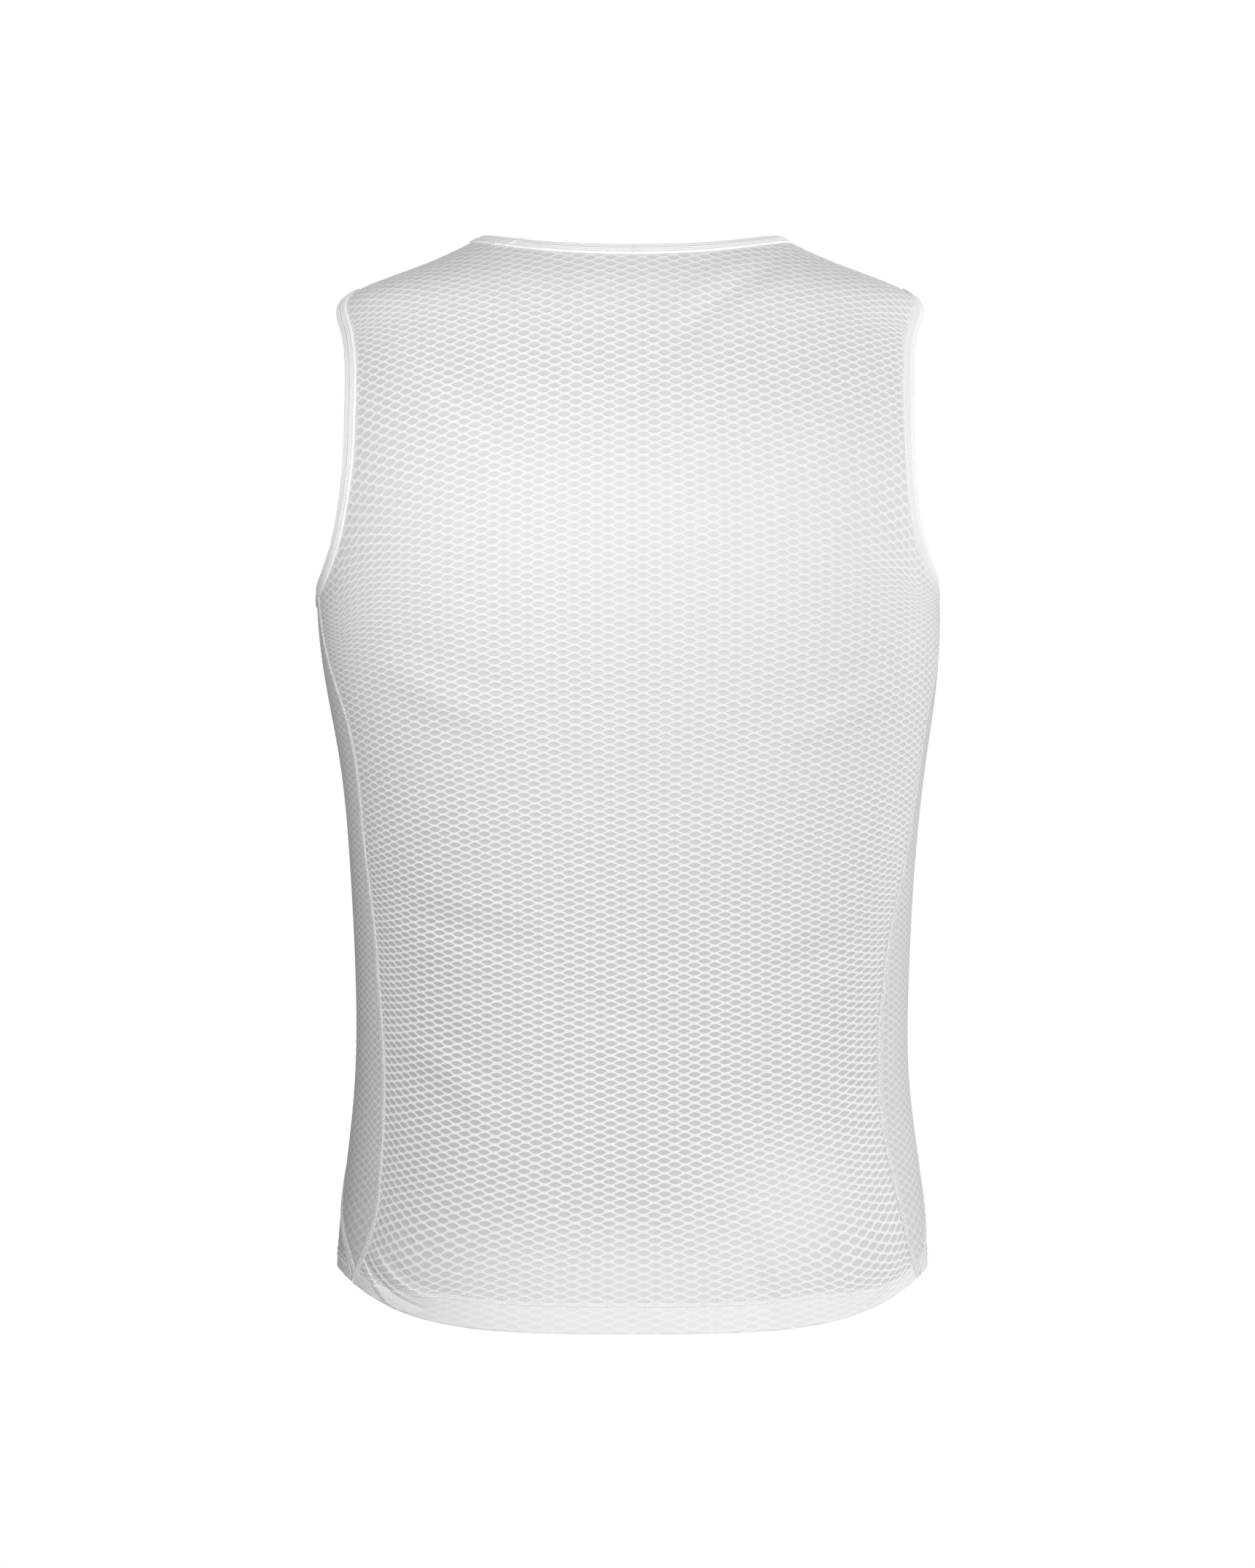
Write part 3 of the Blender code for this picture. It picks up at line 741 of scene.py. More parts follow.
# where the hem's corners are gathered, courses hang lower about one level, from one angle on to another
gather = {"level": -606.0, "over": 20.0, "drop": 8.0, "fromAngle": 24.0, "toAngle": 48.0}
# below each armhole the courses sag toward the side, by the angle to a power: the level on the centre line,
# how far above and below it they sag, and the drop at 60 degrees
sag = {
    "power": 3.15,
    "left": {"level": -178.0, "over": 56.0, "drop": 25.0},
    "right": {"level": -182.0, "over": 34.0, "drop": 16.0},
}
# degrees from the centre line at which a bow, a curl and a sag are what they say, and up to which they grow
bowing = {"at": 45.0, "upTo": 80.0, "curlUpTo": 66.0, "sagAt": 60.0}
# the laid-out cloth is kept as tables, in millimetres and degrees
layout = {
    "lowest": -660.0,  # the levels up the cloth, 1 mm apart, and the rings' own step
    "highest": 190.0,
    "ringStep": 2.0,
    "acrossStep": 3.0,  # from the centre line, and how far it goes
    "reach": 400.0,
    "angle": 150.0,
    "top": 12.0,  # the highest ring, and the step of heights above the yoke
    "upStep": 0.5,
    "risePoints": 160,  # points up each line from the yoke to the shoulder seam, and a little past it
    "pastPoints": 12,
    "pastAngle": 14.0,
}
upLevels = np.arange(layout["lowest"], layout["highest"], 1.0)
gaugeRows = np.array(gauge)
courseNumber = np.append(0, np.cumsum(1.0 / np.interp(upLevels[:-1] + 0.5, gaugeRows[:, 0], gaugeRows[:, 2])))


def bilinear(table, rowPlace, columnPlace):
    # the table read between its four nearest entries
    i = np.clip(rowPlace, 0, table.shape[0] - 1.001)
    j = np.clip(columnPlace, 0, table.shape[1] - 1.001)
    a, b = i.astype(int), j.astype(int)
    u, v = i - a, j - b
    near = table[a, b] * (1 - v) + table[a, b + 1] * v
    far = table[a + 1, b] * (1 - v) + table[a + 1, b + 1] * v
    return near * (1 - u) + far * u


def halfSheet(side, behind):
    # one half of the cloth laid out. Below the yoke a line keeps its arc from the centre along each ring.
    # Above, it keeps its distance across, as the half width times the sine of the angle, and length up it
    # is measured along the cloth
    hand = "left" if side > 0 else "right"
    seam = bodyAngle(cut["shoulderAngle"], behind)
    half, rise = ring["half" + hand.title()], layout["risePoints"]
    angles = np.arange(0.0, layout["angle"] + 1)
    heights = np.arange(layout["lowest"], yokeHeight + 1, layout["ringStep"])
    points = onBody(bodyAngle(angles, behind)[None], heights[:, None], side)
    arc = np.array([runAlong(row) for row in points])
    across = np.arange(0.0, layout["reach"], layout["acrossStep"])
    angleAt = np.array([np.interp(across, row, angles) for row in arc])

    yokeTurn = np.radians(np.minimum(angleAt[-1], seam - 0.5) * 90 / seam)
    reach = half(yokeHeight) * np.sin(yokeTurn)
    fine = np.linspace(yokeHeight, layout["top"], 800)
    top = np.interp(-reach, -half(fine), fine)
    share = np.linspace(0, 1, rise)[:, None]
    high = top - (top - yokeHeight) * (1 - share) ** 2
    turn = np.degrees(np.arcsin(np.clip(reach / half(high), 0, 1))) * seam / 90
    over = np.linspace(0.02, 1, layout["pastPoints"])[:, None]
    high = np.vstack([high, top + 0 * over])
    turn = np.vstack([turn, turn[-1] + layout["pastAngle"] * over])
    steps = np.linalg.norm(np.diff(onBody(bodyAngle(turn, behind), high, side), axis=0), axis=2)
    up = yokeHeight + np.concatenate([np.zeros((1, len(across))), np.cumsum(steps, axis=0)])

    below, above = upLevels[upLevels < yokeHeight], upLevels[upLevels >= yokeHeight]
    places = range(len(across))
    lowerAngle = np.array([np.interp(below, heights, angleAt[:, k]) for k in places]).T
    lowerHeight = np.repeat(below[:, None], len(across), axis=1)
    upperAngle, upperHeight = (
        np.array([np.interp(above, up[:, k], table[:, k]) for k in places]).T for table in (turn, high)
    )
    levels = np.arange(yokeHeight, layout["top"] + 0.01, layout["upStep"])
    return {
        "arc": arc, "seam": seam, "half": half, "angles": angles, "yokeArc": arc[-1], "bowAngle": angleAt,
        "upAt": np.array([np.interp(levels, high[:rise, k], up[:rise, k]) for k in places]).T,
        "squeeze": 1.0 if side > 0 else squeeze["right"], "sag": sag[hand],
        "angleAt": np.vstack([lowerAngle, upperAngle]), "heightAt": np.vstack([lowerHeight, upperHeight]),
    }


def ringPlace(height):
    # the row of a table of rings, up to the yoke
    return (np.minimum(height, yokeHeight) - layout["lowest"]) / layout["ringStep"]


def courseLift(centre, height, across, sheet, bowed):
    # bow times (angle / 45) squared and curl times (angle / 45) to the sixth, less the gather: its drop times
    # e to the minus the squared distance from its level, times a smooth step of the angle. The sag is the
    # same, times (angle / 60) to its power. The side panels take 60 degrees throughout
    angle = bilinear(sheet["bowAngle"], ringPlace(height), across / layout["acrossStep"])
    share = (np.minimum(angle, bowing["upTo"]) if bowed else bowing["sagAt"] + 0 * angle) / bowing["at"]
    tight = np.minimum(share, bowing["curlUpTo"] / bowing["at"])
    step = smoothStep((angle - gather["fromAngle"]) / (gather["toAngle"] - gather["fromAngle"]))
    gathered = gather["drop"] * np.exp(-(((centre - gather["level"]) / gather["over"]) ** 2)) * step
    hang = sheet["sag"]
    sagged = hang["drop"] * np.exp(-(((centre - hang["level"]) / hang["over"]) ** 2))
    lift = knit["bow"](centre) * share**2 + knit["curl"](centre) * tight**6
    return lift - gathered - sagged * (tight * bowing["at"] / bowing["sagAt"]) ** sag["power"]


def squeezed(across, height, sheet):
    # past a distance from the centre the wales draw closer: less squeeze times the square over twice the run
    past = np.clip(across - squeeze["from"], 0, squeeze["over"] * 1.6)
    closer = sheet["squeeze"] * np.clip(knit["squeeze"](height), 0, 0.5)
    return across - closer * past**2 / (2 * squeeze["over"])


def netPoint(wale, course, sheet, bowed):
    # the body's angle and height of a wale and course number, settled in a few rounds
    centre = np.interp(course, courseNumber, upLevels)
    height = np.minimum(centre, 0.0)
    for _ in range(7):
        across = squeezed(np.abs(wale) * knit["wale"](height), height, sheet)
        place = centre + courseLift(centre, height, across, sheet, bowed) - layout["lowest"]
        height = bilinear(sheet["heightAt"], place, across / layout["acrossStep"])
    return bilinear(sheet["angleAt"], place, across / layout["acrossStep"]), height


def netNumber(angle, height, sheet, bowed):
    # the other way: which wale and course lies at an angle and height
    across = bilinear(sheet["arc"], ringPlace(height), angle)
    scale = 90 / sheet["seam"]
    reach = sheet["half"](np.maximum(height, yokeHeight)) * np.sin(np.radians(np.minimum(angle * scale, 90)))
    turn = np.degrees(np.arcsin(np.clip(reach / sheet["half"](yokeHeight), 0, 1))) / scale
    above = height > yokeHeight
    across = np.where(above, np.interp(turn, sheet["angles"], sheet["yokeArc"]), across)
    high = bilinear(sheet["upAt"], (height - yokeHeight) / layout["upStep"], across / layout["acrossStep"])
    up = np.where(above, high, height)
    centre, loose = up, across
    for _ in range(8):
        centre = up - courseLift(centre, height, across, sheet, bowed)
        loose = across + loose - squeezed(loose, height, sheet)
    return loose / knit["wale"](height), np.interp(centre, upLevels, courseNumber)


def insideOutline(x, z, outline, part=4000):
    # a point is inside where a level line from it crosses the outline an odd number of times
    x0, z0 = outline.T
    x1, z1 = np.roll(outline, -1, axis=0).T
    rise = np.where(z1 == z0, 1e-9, z1 - z0)
    inside = np.zeros(len(x), bool)
    for start in range(0, len(x), part):
        px, pz = x[start : start + part, None], z[start : start + part, None]
        spans = (z0[None] > pz) != (z1[None] > pz)
        reach = px < (x1 - x0)[None] * (pz - z0[None]) / rise[None] + x0[None]
        inside[start : start + part] = np.sum(spans & reach, axis=1) % 2 == 1
    return inside


def nearestOf(points, samples, part=2000):
    # the number of the nearest sample and the distance to it, in parts that fit in memory
    place, gap = np.zeros(len(points), int), np.zeros(len(points))
    for start in range(0, len(points), part):
        apart = np.linalg.norm(points[start : start + part, None] - samples[None], axis=2)
        place[start : start + part] = np.argmin(apart, axis=1)
        gap[start : start + part] = np.min(apart, axis=1)
    return place, gap


# pits are taller where the cloth is stretched over the shoulder blades, and flatter at the waist: the level,
# how far above and below it, and the change
pitHeights = ((-200.0, 110.0, 0.08), (-460.0, 70.0, -0.04))


def openShare(height):
    # 1, and each change times e to the minus the squared distance from its level
    changes = [change * np.exp(-(((height - level) / over) ** 2)) for level, over, change in pitHeights]
    return 1.0 + changes[0] + changes[1]


# how strongly the pits show, which paints light and shade by region: the zones make the pits paler, as
# painted light, high on the body, by the neck, at mid height, low on the right and along the middle of the
# hem, and greyer, as painted shade, by the left side seam
paintedLightPitShow = {"plain": 0.8, "names": ("x", "z", "halfX", "halfZ", "change"), "zones": (
    (-40, -165, 300, 90, -0.46),
    (0, -30, 400, 38, -0.30),
    (-40, -300, 200, 95, -0.26),
    (150, -440, 62, 120, 0.30),
    (-95, -560, 50, 40, -0.35),
    (10, -612, 140, 38, -0.45),
)}


def paintedLightPitShown(points):
    # the plain strength and each zone's change of the painted light and shade, times e to the minus the
    # squared distance over its halves
    total = np.full(len(points), paintedLightPitShow["plain"])
    for row in paintedLightPitShow["zones"]:
        zone = dict(zip(paintedLightPitShow["names"], row))
        across = (points[:, 0] - zone["x"]) / zone["halfX"]
        up = (points[:, 2] - zone["z"]) / zone["halfZ"]
        total += zone["change"] * np.exp(-(across**2) - up**2)
    return total


def makeNet(name, outline, onHem, halves, behind, material, centreSide=0, relief=1.0):
    # pits and the corners between them stand on one grid of half steps; a pit is kept if any of its four
    # corners is inside the outline, and what lies outside is drawn back to it. Relief is the share of the
    # pits' depth, and of how strongly they show
    bowed = centreSide == 0

    def place(wale, course):
        # the angle from the centre line, the height and the side of a wale and course number
        left = wale >= 0 if bowed else np.full(wale.shape, centreSide > 0)
        both = [netPoint(wale, course, halves[s], bowed) for s in (1, -1)]
        angle, height = (np.where(left, mine, other) for mine, other in zip(*both))
        return angle, height, np.where(left, 1.0, -1.0)

    def bodyPoints(angle, height, side):
        return onBody(bodyAngle(angle, behind), height, side)

    edgePoints = bodyPoints(*outline.T)
    edgeAngle, edgeHeight, edgeSide = outline[::4].T  # the outline's tests use every fourth point
    flatOutline = np.stack([edgeAngle * edgeSide, edgeHeight], axis=1)

    def settle(wale, course, angle, height, side, outside, close, every):
        # draws what is outside back to the outline and numbers it anew, for the pattern. Gives what lies on
        # the hem's fold, and the share of relief, which fades out toward the outline
        onFold = np.zeros(len(wale), bool)
        if outside.any():
            there = bodyPoints(angle[outside], height[outside], side[outside])
            nearest, _ = nearestOf(there, edgePoints)
            angle[outside], height[outside], side[outside] = outline[nearest].T
            onFold[outside] = onHem[nearest]
            for s in (1, -1):
                which = outside & (side == s)
                number = netNumber(angle[which], height[which], halves[s], bowed)
                wale[which], course[which] = number[0] * s, number[1]
        gap = np.full(len(wale), np.inf)
        gap[close] = nearestOf(bodyPoints(angle[close], height[close], side[close]), edgePoints[::every])[1]
        fade = np.clip((gap - net["fadeFrom"]) / net["fadeOver"], 0, 1)
        fade[outside] = 0
        return onFold, fade

    number = np.stack([netNumber(edgeAngle, edgeHeight, halves[s], bowed) for s in (1, -1)])
    reach = int(2 * number[:, 0].max()) + 4
    lowest, highest = int(2 * number[:, 1].min()) - 3, int(2 * number[:, 1].max()) + 4
    p, q = np.meshgrid(np.arange(-reach, reach + 1), np.arange(lowest, highest + 1), indexing="ij")
    angle, height, side = place(p / 2, q / 2)
    inside = insideOutline((angle * side).ravel(), height.ravel(), flatOutline).reshape(p.shape)
    kept = np.zeros(p.shape, bool)
    kept[1:-1, 1:-1] = inside[2:, 1:-1] | inside[:-2, 1:-1] | inside[1:-1, 2:] | inside[1:-1, :-2]
    kept &= (p + q) % 2 == 0
    if centreSide:
        kept &= p * centreSide > 0
    used = np.zeros(p.shape, bool)
    for axis in (0, 1):
        used |= np.roll(kept, 1, axis=axis) | np.roll(kept, -1, axis=axis)
    cornerId = np.full(p.shape, -1)
    cornerId[used] = np.arange(used.sum())
    ki, kj = np.nonzero(kept)
    corner = [cornerId[ki + 1, kj], cornerId[ki, kj + 1], cornerId[ki - 1, kj], cornerId[ki, kj - 1]]
    count, cornerCount = len(ki), used.sum()

    # the corners between the pits
    cw, cr = p[used] / 2, q[used] / 2
    ca, ch, cs = angle[used], height[used], side[used]
    cFold, cFade = settle(cw, cr, ca, ch, cs, ~inside[used], np.ones(len(cw), bool), 5)

    # each pit's eight rim points and the middle of its floor
    share = openShare(height[kept])
    offX = np.array([1, 0.6, 0, -0.6, -1, -0.6, 0, 0.6, 0]) * net["halfWidth"]
    offY = np.array([0, 0.6, 1, 0.6, 0, -0.6, -1, -0.6, 0]) * net["halfHeight"]
    perPit = len(offX)
    vw = (p[kept][:, None] / 2 + offX).ravel()
    vr = (q[kept][:, None] / 2 + offY * share[:, None]).ravel()
    va, vh, vs = place(vw, vr)
    pitGap = nearestOf(bodyPoints(angle[kept], height[kept], side[kept]), edgePoints[::5])[1]
    close = np.repeat(pitGap < net["nearEdge"], perPit)
    vOut = np.zeros(len(vw), bool)
    vOut[close] = ~insideOutline((va * vs)[close], vh[close], flatOutline)
    vFold, vFade = settle(vw, vr, va, vh, vs, vOut, close, 3)

    cTurn, vTurn = bodyAngle(ca, behind), bodyAngle(va, behind)
    cHem, vHem = hemShare(cTurn, ch), hemShare(vTurn, vh)
    level = np.tile(np.append(np.full(8, net["rim"]), net["floor"]), count)
    cLift = relief * net["crest"] * (1 - (1 - net["hemRelief"]) * cHem) * cFade - net["foldOuter"] * cFold
    vLift = relief * level * (1 - (1 - net["hemRelief"]) * vHem) * vFade - net["foldOuter"] * vFold
    wall = np.where(cHem > 0.5, cut["hemWall"], cut["wall"])
    outerCorners = onCloth(cTurn, ch, cs, cLift)
    innerCorners = onCloth(cTurn, ch, cs, -wall + net["foldInner"] * cFold)
    pitPoints = onCloth(vTurn, vh, vs, vLift)
    points = np.concatenate([outerCorners, innerCorners, pitPoints])

    rim = 2 * cornerCount + perPit * np.arange(count) + np.arange(perPit)[:, None]
    floor = rim[8]
    tris = []
    for k in range(4):
        c0, c1 = corner[k], corner[(k + 1) % 4]
        r0, r1, r2 = rim[2 * k], rim[2 * k + 1], rim[(2 * k + 2) % 8]
        for three in ((c0, c1, r1), (c0, r1, r0), (c1, r2, r1), (r0, r1, floor), (r1, r2, floor)):
            tris.append(np.stack(three, axis=1))
    tris = np.concatenate(tris)
    under = np.stack(corner, axis=1)[:, ::-1] + cornerCount
    # the edge of the cloth: each side of a pit's cell that no other kept cell shares
    run = np.concatenate([np.stack([corner[k], corner[(k + 1) % 4]], axis=1) for k in range(4)])
    key = run.min(axis=1).astype(np.int64) * (cornerCount + 1) + run.max(axis=1)
    _, first, times = np.unique(key, return_index=True, return_counts=True)
    start, end = run[first[times == 1]].T
    walls = np.stack([end, start, start + cornerCount, end + cornerCount], axis=1)
    quads = np.concatenate([under, walls])
    if behind:
        tris, quads = tris[:, ::-1], quads[:, ::-1]
    uv = np.concatenate([np.stack([cw, cr], axis=1)] * 2 + [np.stack([vw, vr], axis=1)])
    # the fourth column is the pits' strength by region, which paints light and shade
    cLook = np.stack([openShare(ch), cHem, cFade, relief * paintedLightPitShown(outerCorners)], axis=1)
    vLook = np.stack([np.repeat(share, perPit), vHem, vFade, relief * paintedLightPitShown(pitPoints)], axis=1)
    look = np.concatenate([cLook, cLook, vLook])
    piece = makeMesh(name, points, [tris, quads], material, uv=uv, look=look)
    print(f"{name}: {count} pits, {2 * len(quads) + len(tris)} triangles")
    return piece


outlineStep = 0.5  # millimetres between the points of a panel's outline


def ringOutline(parts, behind):
    # parts are (curve, side, is it the hem), one after another; the outline's points are the angle from the
    # centre line, the height and the side
    rows, hems = [], []
    for curve, side, isHem in parts:
        angle, height = curve[:-1].T
        rows.append(np.stack([bodyAngle(angle, behind), height, np.full(len(angle), side)], axis=1))
        hems.append(np.full(len(angle), isHem))
    return np.concatenate(rows), np.concatenate(hems)


def panelOutline(behind):
    # from the centre of the hem out to the left seam, up and over to the neck, and down the right side
    which = "back" if behind else "front"
    parts = []
    for side in (1, -1):
        e = edges[side]
        angle = np.linspace(bodyAngle(0.0, behind), e[which + "Seam"][0, 0], 600)
        curves = [
            np.stack([angle, hemHeight(angle)], axis=1), e[which + "Seam"], e[which + "Armhole"],
            e["shoulder"][::-1], neckline(side, behind)[::-1],
        ]
        chain = [(spaced(curve, side, outlineStep), side, k == 0) for k, curve in enumerate(curves)]
        if side < 0:
            chain = [(curve[::-1], side, isHem) for curve, side, isHem in chain[::-1]]
        parts += chain
    return ringOutline(parts, behind)


def sideOutline(side):
    # up the back seam, along the armhole, down the front seam and back along the hem
    e = edges[side]
    angle = np.linspace(e["frontSeam"][0, 0], e["backSeam"][0, 0], 60)
    hem = np.stack([angle, hemHeight(angle)], axis=1)
    curves = (e["backSeam"], e["underArm"], e["frontSeam"], hem)
    back, under, front, hem = (spaced(curve, side, outlineStep) for curve in curves)
    chain = [(curve, side, False) for curve in (back, under, front[::-1])]
    return ringOutline(chain + [(hem, side, True)], True)


backHalves = {s: halfSheet(s, True) for s in (1, -1)}
frontHalves = {s: halfSheet(s, False) for s in (1, -1)}
backPanel = makeNet("back_net", *panelOutline(True), backHalves, True, bodyMesh)
frontPanel = makeNet("front_net", *panelOutline(False), frontHalves, False, bodyMesh)
for side, hand in ((1, "left"), (-1, "right")):
    panel = makeNet(
        f"side_net_{hand}", *sideOutline(side), backHalves, True, sideMesh, side, net["sideRelief"]
    )
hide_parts("back_panel")
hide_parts("front_panel")
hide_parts("side_panel_left")
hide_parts("side_panel_right")
print("net panels made")

# The seams: a flatlock band with a thread that crosses it and a row of stitches along one edge.

flatlock = {
    "halfWidth": 2.3,
    "height": 0.46,
    "edge": 0.05,
    "sunk": -0.5,
    "step": 2.0,
    "pitch": 1.5,
    "threadRadius": 0.2,
    "threadLift": 0.34,
    "crossLift": 0.18,
    "reach": 1.55,
    "edgePlace": 0.95,  # the share of the half width
    "edgePitch": 1.7,
    "edgeLift": 0.42,
    "edgeStitch": (1.9, 0.75, 0.6),
    "trim": 1,  # the bands stop one step above the hem's edge
}


def flatBand():
    # a low rounded ridge: height times (1 - the distance across to the fourth power), over a flat base
    x = np.linspace(-1, 1, 11)
    half, edge = flatlock["halfWidth"], flatlock["edge"]
    top = np.stack([x * half, edge + (flatlock["height"] - edge) * (1 - x**4)], axis=1)
    return np.vstack([top, [[half, flatlock["sunk"]], [-half, flatlock["sunk"]]]])[::-1]


def sidePath(curve, side):
    # an angle and height curve with its side
    return np.column_stack([curve, np.full(len(curve), float(side))])


def zigzag(name, path):
    # a thread that crosses the band and comes back, over and over, as a triangle wave
    points, _, past, normal = pathFrames(path, False)
    run = runAlong(points)
    turns = np.arange(0, run[-1], flatlock["pitch"] / 2)
    at = np.repeat(turns, 2)[:-1]
    at[1::2] = (turns[:-1] + turns[1:]) / 2
    off = np.zeros(len(at))
    off[::2] = np.where(np.arange(len(turns)) % 2 == 0, flatlock["reach"], -flatlock["reach"])
    high = flatlock["threadLift"] + np.where(off == 0, flatlock["crossLift"], 0)
    points, past, normal = framesAt((points, past, normal), run, at)
    line = points + past * off[:, None] + normal * high[:, None]
    return threadTube(name, line, normal, flatlock["threadRadius"], sewingThread)


# each seam's edge, its name and the panel whose sewing it counts as
seamRows = (("backSeam", "back", "back"), ("frontSeam", "front", "front"), ("shoulder", "shoulder", "back"))
seamPieces = {"back": [], "front": []}
for side, hand in ((1, "left"), (-1, "right")):
    for which, label, group in seamRows:
        start = 0 if which == "shoulder" else flatlock["trim"]
        path = sidePath(spaced(edges[side][which], side, flatlock["step"])[start:], side)
        away = side * (1 if which == "backSeam" else -1) * flatlock["halfWidth"] * flatlock["edgePlace"]
        frames = stitchRow(path, flatlock["edgePitch"], [away], flatlock["edgeLift"])
        made = [
            sweep(f"{label}_seam_{hand}", path, flatBand(), seamTape, False),
            zigzag(f"{label}_seam_thread_{hand}", path),
            grains(f"{label}_seam_edge_{hand}", *frames, flatlock["edgeStitch"], sewingThread),
        ]
        seamPieces[group] += made
print("seams made")

# The bindings: folded tape round the neck and the armholes.

binding = {
    "out": 0.75,
    "flat": 0.25,  # the tape lies this much lower between its ridges
    "in": -1.95,
    "overlap": 0.9,
    "rise": 0.6,  # the outer edge rounds up over this far, and the inner one ends at the raw edge's level
    "rawEdge": -0.1,
    "fold": 1.2,
    "ridges": (0.2, 1.85, 3.5),  # how far past the raw edge each stitched ridge lies
    "ridgeWidth": 1.1,
    "ridgeRise": 0.45,
    "stitchPitch": 2.1,
    "stitchPlaces": (1.05, 2.7),
    "stitchSunk": 0.2,
    "stitch": (1.75, 0.5, 0.45),
    "armholeStep": 1.8,
    "neckStep": 1.6,
}


def bindingSection(width):
    # the tape's outer face with a raised rib at each row of stitching, a half-round fold, and back inside
    edge, face, inner = width - binding["fold"], binding["out"] - binding["flat"], binding["in"]
    x = np.linspace(-binding["overlap"], edge, 44)
    ribs = sum(np.exp(-(((x - r) / (binding["ridgeWidth"] / 2)) ** 2)) for r in binding["ridges"])
    start = np.clip((x + binding["overlap"]) / binding["rise"], 0, 1) ** 0.5
    outer = (face + binding["ridgeRise"] * ribs) * start
    turn = np.linspace(np.pi / 2, -np.pi / 2, 9)[1:-1]
    depth = (face + inner + (face - inner) * np.sin(turn)) / 2
    fold = np.stack([edge + binding["fold"] * np.cos(turn), depth], axis=1)
    inside = np.array([[edge, inner], [cut["seamGap"], inner], [cut["seamGap"], binding["rawEdge"]]])
    return np.vstack([np.stack([x, outer], axis=1), fold, inside])[::-1]


def armholePath(side):
    # the armhole's edge, so that past it is into the hole on both sides
    loop = edges[side]["loop"]
    path = sidePath(spaced(np.vstack([loop, loop[:1]]), side, binding["armholeStep"])[:-1], side)
    return path if side > 0 else path[::-1]


def neckPath():
    # the neck's edge, from the centre back to the left and round by the front
    parts = []
    for side, behind, forward in ((1, True, 1), (1, False, -1), (-1, False, 1), (-1, True, -1)):
        curve = spaced(neckline(side, behind), side, binding["neckStep"])[::forward][:-1]
        parts.append(sidePath(curve, side))
    return np.vstack(parts)


bindings = {}
for name, node, path, width in (
    ("armhole_tape_left", "armhole_binding_left", armholePath(1), cut["armholeBinding"]),
    ("armhole_tape_right", "armhole_binding_right", armholePath(-1), cut["armholeBinding"]),
    ("neck_tape", "neck_binding", neckPath(), cut["neckBinding"]),
):
    tape = sweep(name, path, bindingSection(cut["seamGap"] + width), elasticTape, True)
    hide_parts(node)
    loop = np.vstack([path, path[:1]])
    lift = binding["out"] - binding["stitchSunk"]
    frames = stitchRow(loop, binding["stitchPitch"], binding["stitchPlaces"], lift)
    stitches = grains(f"{name}_stitches", *frames, binding["stitch"], sewingThread)
    bindings[name] = [tape, stitches]

neckSewing = {  # the join and the tack, from the centre to the left
    "joinFrom": 71.3, "joinLong": 4.4, "slant": -0.85, "lift": 0.5, "under": -0.25, "core": (3.0, -0.6),
    "tackAt": 79.0, "tackStitches": 6, "tackPitch": 0.6, "tackPast": -1.5, "tackLift": 0.95,
    "tackSize": (3.0, 1.1, 1.9),
}
neckFrames = pathFrames(sidePath(spaced(neckline(1, True), 1, 0.5), 1), False)
neckRun = runAlong(neckFrames[0])


def neckJoin():
    # the tape's lapped end: its outer face again, moved away from the tape's core, between two slanting lines
    # across it, with an under face and walls all round
    join = neckSewing
    start = np.interp(join["joinFrom"], neckFrames[0][:, 0], neckRun)
    section = bindingSection(cut["seamGap"] + cut["neckBinding"])[::-1][:50]
    u = np.linspace(0, 1, 14)[:, None]
    at = start + join["joinLong"] * u + join["slant"] * section[:, 0]
    points, _, past, normal = framesAt(neckFrames, neckRun, at)
    edge = np.minimum(1, np.minimum(u, 1 - u) * 8) ** 0.5
    away = unit(section - np.array(join["core"]))
    sides = []
    for lift in (join["lift"] * edge, join["under"] + 0 * u):
        out = section + away * lift[..., None]
        sides.append((points + past * out[..., :1] + normal * out[..., 1:]).reshape(-1, 3))
    index = np.arange(at.size).reshape(at.shape)
    top = np.stack([index[:-1, :-1], index[:-1, 1:], index[1:, 1:], index[1:, :-1]], axis=-1).reshape(-1, 4)
    rim = np.concatenate([index[0, :-1], index[:-1, -1], index[-1, :0:-1], index[:0:-1, 0]])
    walls = np.stack([rim, rim + at.size, np.roll(rim, -1) + at.size, np.roll(rim, -1)], axis=1)
    uv = np.stack([at, np.broadcast_to(section[:, 0], at.shape)], axis=-1).reshape(-1, 2)
    faces = [top, top[:, ::-1] + at.size, walls]
    piece = makeMesh("neck_join", np.concatenate(sides), faces, lappedTape, uv=np.concatenate([uv, uv]))
    return piece


def neckTack():
    # a bar tack: short stitches side by side across the lower edge of the tape
    join = neckSewing
    middle = np.interp(join["tackAt"], neckFrames[0][:, 0], neckRun)
    at = middle + (np.arange(join["tackStitches"]) - join["tackStitches"] / 2) * join["tackPitch"]
    points, along, past, normal = framesAt(neckFrames, neckRun, at)
    centres = points + past * join["tackPast"] + normal * join["tackLift"]
    piece = grains("neck_bartack", centres, past, -along, normal, join["tackSize"], sewingThread)
    return piece


bindings["neck_tape"] += [neckJoin(), neckTack()]
print("bindings made")

# The hem's cover stitch: two rows, the lower one just below the top of the turned-up edge.

hemSewing = {
    "below": 2.0, "rows": (0.0, 3.0), "step": 2.0, "pitch": 2.6, "size": (2.2, 0.75, 0.6), "lift": 0.25,
}


